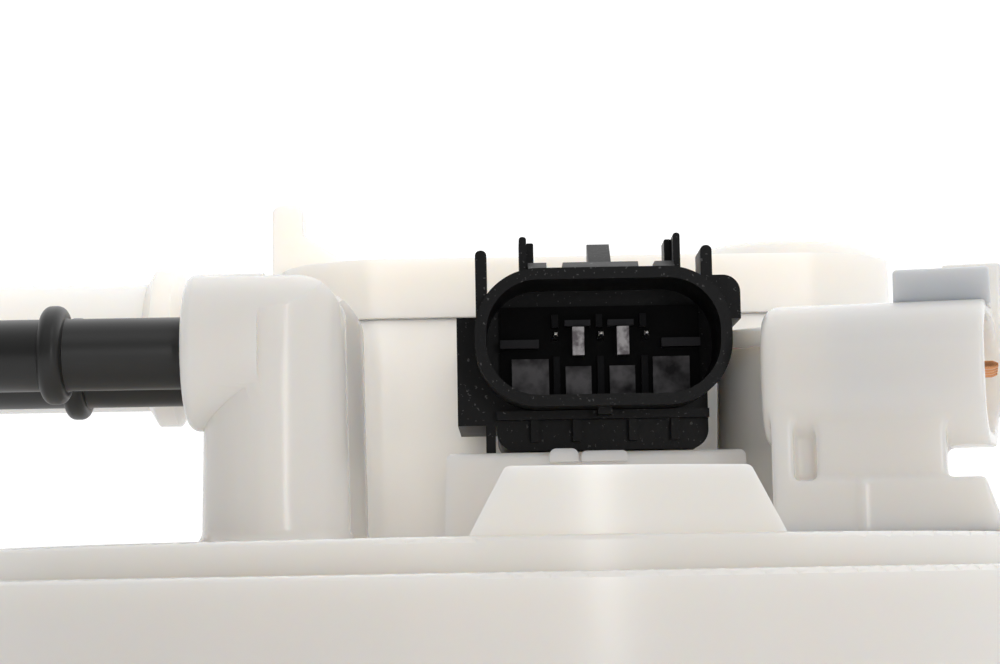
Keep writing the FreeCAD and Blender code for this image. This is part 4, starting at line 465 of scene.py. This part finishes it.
def make_spring(name, node, body, wire, turns):
    """A coil spring in its node's box."""
    low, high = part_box(node)
    middle = Vector(((low.x + high.x) / 2, (low.y + high.y) / 2, 0))
    mean = (high.x - low.x) / 2 - wire
    bottom, top = low.z + SEAT_ROOM, high.z - SEAT_ROOM
    end_pitch = wire * CLOSED_PITCH
    open_turns = turns - 2
    pitch = (top - bottom - wire * 2 - end_pitch * 2) / open_turns
    bm = bmesh.new()
    bmesh.ops.create_circle(bm, segments=WIRE_SIDES, radius=wire)
    bmesh.ops.rotate(bm, verts=bm.verts, cent=(0, 0, 0), matrix=Matrix.Rotation(math.pi / 2, 3, "X"))
    bmesh.ops.translate(bm, verts=bm.verts, vec=middle + Vector((mean, 0, bottom + wire)))
    rim = bm.edges[:]
    ends = [bm.edges[:]]
    for count, rise in ((1, end_pitch), (open_turns, pitch), (1, end_pitch)):
        steps = count * TURN_STEPS
        spun = bmesh.ops.spin(bm, geom=rim, cent=middle, axis=(0, 0, 1), steps=steps,
                              dvec=(0, 0, rise * count / steps), angle=math.tau * count, use_merge=False)
        rim = [part for part in spun["geom_last"] if isinstance(part, bmesh.types.BMEdge)]
    ends.append(rim)
    for rim in ends:
        bmesh.ops.contextual_create(bm, geom=rim)
    item = add_piece(name, mesh_from(name, bm), body, "spring_steel", node)
    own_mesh(item)
    print(name, "stands", round((top - bottom) / MM, 1), "mm high")


for side in ("left", "right"):
    make_spring("coil_" + side, "spring_" + side, "head", 0.7 * MM, 9)
make_spring("check_coil", "check_spring", "reservoir", 0.3 * MM, 5)


# %% [markdown]
# The fuel tubes and the leads hang between the head and the reservoir. Each follows straight
# runs with rounded corners. The tubes are convoluted so that they can bend, with plain ends
# that grip their nipples.

# %% Path helpers
def rounded_path(corners, step):
    """Evenly spaced points along straight runs whose corners are rounded."""
    spots = [Vector(corner) * MM for corner in corners]
    rough = [spots[0]]
    for before, corner, after in zip(spots, spots[1:], spots[2:]):
        reach = 0.45 * min((before - corner).length, (after - corner).length)
        near = corner + (before - corner).normalized() * reach
        far = corner + (after - corner).normalized() * reach
        rough += interpolate_bezier(near, near.lerp(corner, 0.6), far.lerp(corner, 0.6), far, 24)
    rough.append(spots[-1])
    path, passed = [rough[0]], 0.0
    for start, end in zip(rough, rough[1:]):
        run = (end - start).length
        while run > 0 and len(path) * step <= passed + run:
            path.append(start.lerp(end, (len(path) * step - passed) / run))
        passed += run
    path.append(rough[-1])
    return path


def swept_mesh(name, runs, radius, sides):
    """One mesh of round sections along several paths; each path has its own material."""
    bm = bmesh.new()
    for number, (path, swell) in enumerate(runs):
        curve = bpy.data.curves.new(name, "CURVE")
        curve.dimensions = "3D"
        curve.bevel_depth = radius
        curve.bevel_resolution = sides
        curve.use_fill_caps = True
        spline = curve.splines.new("POLY")
        spline.points.add(len(path) - 1)
        for index, (point, place) in enumerate(zip(spline.points, path)):
            point.co = (*place, 1.0)
            point.radius = swell(index / (len(path) - 1), index)
        holder = bpy.data.objects.new(name, curve)
        bpy.context.scene.collection.objects.link(holder)
        bpy.context.view_layer.update()
        made = bpy.data.meshes.new_from_object(holder.evaluated_get(bpy.context.evaluated_depsgraph_get()))
        before = len(bm.faces)
        bm.from_mesh(made)
        bm.faces.ensure_lookup_table()
        for face in bm.faces[before:]:
            face.material_index = number
        bpy.data.objects.remove(holder)
        bpy.data.meshes.remove(made)
    bmesh.ops.remove_doubles(bm, verts=bm.verts, dist=0.000001)
    return mesh_from(name, bm)


# %% Fuel tubes
TUBE_STEP = 0.35 * MM
TUBE_END = 12.0 * MM
TUBE_RADIUS = 5.5 * MM
PLAIN_SHARE = 0.97
RIB_PITCH = 2.4 * MM
RIB_DEPTH = 0.13


def make_tube(name, node, corners):
    """A convoluted tube with plain ends that bends between the head and the reservoir."""
    path = rounded_path(corners, TUBE_STEP)
    length = TUBE_STEP * len(path)

    def swell(share, index):
        along = share * length
        if min(along, length - along) < TUBE_END:
            return PLAIN_SHARE
        return 1 - RIB_DEPTH / 2 + RIB_DEPTH / 2 * math.cos(math.tau * along / RIB_PITCH)

    item = add_piece(name, swept_mesh(name, [(path, swell)], TUBE_RADIUS, 8), None, "tube_nylon", node)
    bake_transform(item)


ELBOW_X, SUPPLY_Y, RETURN_Y = -24.5, 2.5, -23.5
OUTLET_X, JET_X, JET_Y = -7.0, -28.0, -29.0
make_tube("supply_hose", "supply_tube",
          [(OUTLET_X, SUPPLY_Y, -90), (OUTLET_X, SUPPLY_Y, -60),
           (ELBOW_X, SUPPLY_Y, -31), (ELBOW_X, SUPPLY_Y, 9)])
make_tube("return_hose", "return_tube",
          [(JET_X, JET_Y, -72), (JET_X, JET_Y, -48), (ELBOW_X, RETURN_Y, -23), (ELBOW_X, RETURN_Y, 9)])

# %% [markdown]
# Four insulated leads come from the main terminals' legs. A red and a black one feed the
# pump, a yellow and a violet one the level sender. Each end is booted, so it is a little
# thicker there.

# %% Leads
LEAD_STEP = 0.8 * MM
LEAD_RADIUS = 1.1 * MM
BOOT_SHARE, BOOT_SWELL = 0.055, 1.3
CONNECTOR_X, CONNECTOR_Y, CONNECTOR_TURN = 31.0, -20.5, math.radians(-12)
LEG_ALONG, LEG_PITCH = 5.2, 3.4


def terminal_leg(index):
    """Where a main terminal's leg comes down below the deck."""
    place = Vector((LEG_ALONG, (index - 1.5) * LEG_PITCH))
    place.rotate(Matrix.Rotation(CONNECTOR_TURN, 2))
    return CONNECTOR_X + place.x, CONNECTOR_Y + place.y


def boots(share, index):
    """A lead is thicker where its ends are booted."""
    return 1.0 if BOOT_SHARE < share < 1 - BOOT_SHARE * 0.7 else BOOT_SWELL


def make_leads(name, node, routes, finishes):
    """A group of leads as one piece, each with its own insulation."""
    runs = [(rounded_path(route, LEAD_STEP), boots) for route in routes]
    mesh = swept_mesh(name, runs, LEAD_RADIUS, 4)
    for label in finishes:
        mesh.materials.append(FINISHES[label])
    item = add_piece(name, mesh, None, "lead_insulation", node)
    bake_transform(item)


pump_routes, sender_routes = [], []
for index, blade_y in enumerate((-5.25, 5.25)):
    leg = terminal_leg(index)
    pump_routes.append([(7.05, blade_y, -90.9), (10.25, blade_y, -72.9),
                        (21.25, blade_y - 8 + 3 * index, -48.9), (*leg, -18), (*leg, 0.9)])
for index in range(2):
    leg = terminal_leg(index + 2)
    side_y = -5 - 3.2 * index
    sender_routes.append([(61, side_y, -101.5), (61, side_y, -72), (57, side_y - 5, -44),
                          (*leg, -16), (*leg, 0.9)])
make_leads("pump_wires", "pump_leads", pump_routes, ("lead_red", "lead_insulation"))
make_leads("sender_wires", "sender_leads", sender_routes, ("lead_yellow", "lead_violet"))

# %% [markdown]
# The three socket pins are square wire with coined, tapered tips. The tips catch the light
# as three bright points.

# %% Sensor pins
TIP_LENGTH, TIP_SHARE = 0.5 * MM, 0.45
PIN_ROUND = 0.05 * MM


def make_pins():
    """The three socket pins, in the box of their node."""
    low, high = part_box("sensor_pins")
    thick = high.z - low.z
    pitch = (high.x - low.x - thick) / 2
    bm = bmesh.new()
    for index in range(3):
        pin = bmesh.ops.create_cube(bm, size=1.0)["verts"]
        length = high.y - low.y - TIP_LENGTH
        bmesh.ops.scale(bm, verts=pin, vec=(thick, length, thick))
        bmesh.ops.translate(bm, verts=pin, vec=(low.x + thick / 2 + pitch * index,
                                                low.y + TIP_LENGTH + length / 2, (low.z + high.z) / 2))
        sides = {face for vert in pin for face in vert.link_faces}
        front = [face for face in sides if face.normal.y < -0.9]
        grown = bmesh.ops.extrude_face_region(bm, geom=front)["geom"]
        ends = [part for part in grown if isinstance(part, bmesh.types.BMVert)]
        middle = sum((vert.co for vert in ends), Vector()) / len(ends)
        bmesh.ops.scale(bm, verts=ends, vec=(TIP_SHARE, 1, TIP_SHARE), space=Matrix.Translation(-middle))
        bmesh.ops.translate(bm, verts=ends, vec=(0, -TIP_LENGTH, 0))
        bmesh.ops.delete(bm, geom=front, context="FACES_ONLY")
    bmesh.ops.bevel(bm, geom=bm.edges[:], offset=PIN_ROUND, affect="EDGES", segments=2, profile=0.5,
                    material=-1)
    add_piece("socket_pins", mesh_from("socket_pins", bm), "head", "tinned_pin", "sensor_pins")


make_pins()

# %% [markdown]
# The main connector is the piece nearest the picture's right edge: a soft-cornered shroud on
# a stepped foot, with a clearer latch block on top. Its blocks are roughed out one by one,
# then a fine voxel remesh and a smoothing pass melt them into one moulding with real fillets.

# %% Main connector
SHROUD_BACK, SHROUD_MOUTH, SOCKET_FLOOR = -1.7, 23.4, 7.0
SHROUD_LOW, SHROUD_HIGH, SHROUD_HALF = 30.6, 46.3, 8.5
SHROUD_CORNER, SHROUD_WALL, BACK_ROUND = 5.9, 1.6, 1.9
MOUTH_SLANT = math.radians(5.5)
DECK_TOP, FOOT_TOP, FOOT_END, FOOT_FLARE = 21.25, 27.1, 21.5, 2.0
VOXEL, SOFT_SHARE, SOFT_STEPS = 0.32, 0.5, 4
BLOCKS = {
    "back rib": ((-0.7, -8.1, FOOT_TOP - 1), (1.6, 8.1, SHROUD_LOW + 5)),
    "pocket": ((1.0, -6.2, FOOT_TOP - 1), (4.2, 6.2, SHROUD_LOW + 4)),
    "neck": ((4.0, -7.7, FOOT_TOP - 1), (17.6, 7.7, SHROUD_LOW + 4.5)),
    "seam": ((8.8, -8.5, DECK_TOP), (9.15, 8.5, FOOT_TOP - 0.2)),
    "tall wall": ((17.6, 6.9, SHROUD_LOW + 4), (24.2, 8.5, SHROUD_HIGH + 5.2)),
}


def place_main(mesh):
    """Turns and moves a mesh in millimetres to where the main connector stands."""
    mesh.transform(Matrix.Translation((CONNECTOR_X * MM, CONNECTOR_Y * MM, 0))
                   @ Matrix.Rotation(CONNECTOR_TURN, 4, "Z") @ Matrix.Scale(MM, 4))


def add_shroud(bm):
    """A round-cornered sleeve with a closed back: extruded, inset at the mouth and sunk."""
    middle = (SHROUD_LOW + SHROUD_HIGH) / 2
    verts = bmesh.ops.create_grid(bm, x_segments=1, y_segments=1, size=0.5)["verts"]
    bmesh.ops.rotate(bm, verts=verts, cent=(0, 0, 0), matrix=Matrix.Rotation(math.pi / 2, 3, "Y"))
    bmesh.ops.scale(bm, verts=verts, vec=(1, SHROUD_HALF * 2, SHROUD_HIGH - SHROUD_LOW))
    bmesh.ops.translate(bm, verts=verts, vec=(SHROUD_BACK, 0, middle))
    bmesh.ops.bevel(bm, geom=verts, offset=SHROUD_CORNER, offset_type="OFFSET", affect="VERTICES",
                    segments=10, profile=0.5, material=-1)
    face = max((face for face in bm.faces if all(abs(vert.co.x - SHROUD_BACK) < 0.01 for vert in face.verts)),
               key=lambda face: len(face.verts))
    back_edges = list(face.edges)
    grown = bmesh.ops.extrude_face_region(bm, geom=[face], use_keep_orig=True)["geom"]
    mouth = next(part for part in grown if isinstance(part, bmesh.types.BMFace))
    bmesh.ops.translate(bm, verts=mouth.verts, vec=(SHROUD_MOUTH - SHROUD_BACK, 0, 0))
    bmesh.ops.rotate(bm, verts=mouth.verts, cent=(SHROUD_MOUTH, SHROUD_HALF, 0),
                     matrix=Matrix.Rotation(-MOUTH_SLANT, 3, "Z"))
    bmesh.ops.inset_region(bm, faces=[mouth], thickness=SHROUD_WALL, use_even_offset=True)
    sunk = bmesh.ops.extrude_face_region(bm, geom=[mouth])["geom"]
    floor = next(part for part in sunk if isinstance(part, bmesh.types.BMFace))
    bmesh.ops.translate(bm, verts=floor.verts, vec=(SOCKET_FLOOR - SHROUD_MOUTH, 0, 0))
    bmesh.ops.delete(bm, geom=[mouth], context="FACES_ONLY")
    bmesh.ops.bevel(bm, geom=back_edges, offset=BACK_ROUND, offset_type="OFFSET", affect="EDGES",
                    segments=5, profile=0.5, material=-1)


def make_main_connector():
    """Shroud, flared foot and the blocks between them, melted into one moulding."""
    bm = bmesh.new()
    add_shroud(bm)
    foot = add_block(bm, (-0.7, -8.2, DECK_TOP), (FOOT_END, 8.2, FOOT_TOP))
    flared = [vert for vert in foot if vert.co.x > FOOT_END - 1 and vert.co.z < DECK_TOP + 1]
    bmesh.ops.translate(bm, verts=flared, vec=(FOOT_FLARE, 0, 0))
    for low, high in BLOCKS.values():
        add_block(bm, low, high)
    mesh = mesh_from("main_shroud", bm)
    place_main(mesh)
    item = add_piece("main_shroud", mesh, "head", "white_acetal", "main_connector")
    for lamp in ("streak", "fill"):
        bpy.data.collections[lamp + "_lights"].objects.link(item)
    melt = item.modifiers.new("melt", "REMESH")
    melt.mode = "VOXEL"
    melt.voxel_size = VOXEL * MM
    melt.use_smooth_shade = True
    soften = item.modifiers.new("soften", "SMOOTH")
    soften.factor = SOFT_SHARE
    soften.iterations = SOFT_STEPS


make_main_connector()
print("blocks melted with the shroud and foot:", len(BLOCKS))

# %% [markdown]
# The latch block is clearer than the rest of the connector, so it is a piece of its own,
# with a finish of its own and small rounded edges.

# %% Latch block
LATCH_ROUND = 0.45


def make_latch():
    """The clearer block on top of the shroud."""
    bm = bmesh.new()
    add_block(bm, (12.5, -3.4, SHROUD_HIGH - 0.7), (22.8, 3.4, SHROUD_HIGH + 3.5))
    bmesh.ops.bevel(bm, geom=bm.edges[:], offset=LATCH_ROUND, offset_type="OFFSET", affect="EDGES",
                    segments=3, profile=0.5, material=-1)
    mesh = mesh_from("main_latch", bm)
    place_main(mesh)
    mesh.materials.append(FINISHES["clear_acetal"])
    add_piece("main_latch", mesh, "head", "white_acetal", "main_connector")


make_latch()

# %% [markdown]
# The four terminals are square copper wire. Each starts as a cube at its bend. Its lower face
# is drawn down into the leg, its front face out into the blade with a tapered tip.

# %% Main terminals
PIN_THICK, PIN_LEVEL, PIN_TIP = 0.9, 38.9, 23.3
TAPER_LENGTH, TAPER_SHARE, WIRE_ROUND = 0.6, 0.5, 0.06


def make_terminals():
    """Four bent copper terminals: a level blade with a tapered tip, a leg down through the deck."""
    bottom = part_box("main_pins")[0].z / MM
    half = PIN_THICK / 2
    bm = bmesh.new()
    for index in range(4):
        side = (index - 1.5) * LEG_PITCH
        bend = add_block(bm, (LEG_ALONG - half, side - half, PIN_LEVEL - half),
                         (LEG_ALONG + half, side + half, PIN_LEVEL + half))
        faces = {face for vert in bend for face in vert.link_faces}
        bm.normal_update()
        for axis, reach in ((Vector((0, 0, -1)), PIN_LEVEL - half - bottom),
                            (Vector((1, 0, 0)), PIN_TIP - TAPER_LENGTH - LEG_ALONG - half)):
            start = [face for face in faces if face.is_valid and face.normal.dot(axis) > 0.9]
            grown = bmesh.ops.extrude_face_region(bm, geom=start)["geom"]
            ends = [part for part in grown if isinstance(part, bmesh.types.BMVert)]
            bmesh.ops.translate(bm, verts=ends, vec=axis * reach)
            bmesh.ops.delete(bm, geom=start, context="FACES_ONLY")
        tip = [part for part in grown if isinstance(part, bmesh.types.BMFace)]
        narrow = bmesh.ops.extrude_face_region(bm, geom=tip)["geom"]
        ends = [part for part in narrow if isinstance(part, bmesh.types.BMVert)]
        middle = sum((vert.co for vert in ends), Vector()) / len(ends)
        bmesh.ops.scale(bm, verts=ends, vec=(1, TAPER_SHARE, TAPER_SHARE),
                        space=Matrix.Translation(-middle))
        bmesh.ops.translate(bm, verts=ends, vec=(TAPER_LENGTH, 0, 0))
        bmesh.ops.delete(bm, geom=tip, context="FACES_ONLY")
    bmesh.ops.bevel(bm, geom=bm.edges[:], offset=WIRE_ROUND, offset_type="OFFSET", affect="EDGES",
                    segments=2, profile=0.5, material=-1)
    mesh = mesh_from("terminals", bm)
    place_main(mesh)
    add_piece("terminals", mesh, "head", "copper_pin", "main_pins")


make_terminals()
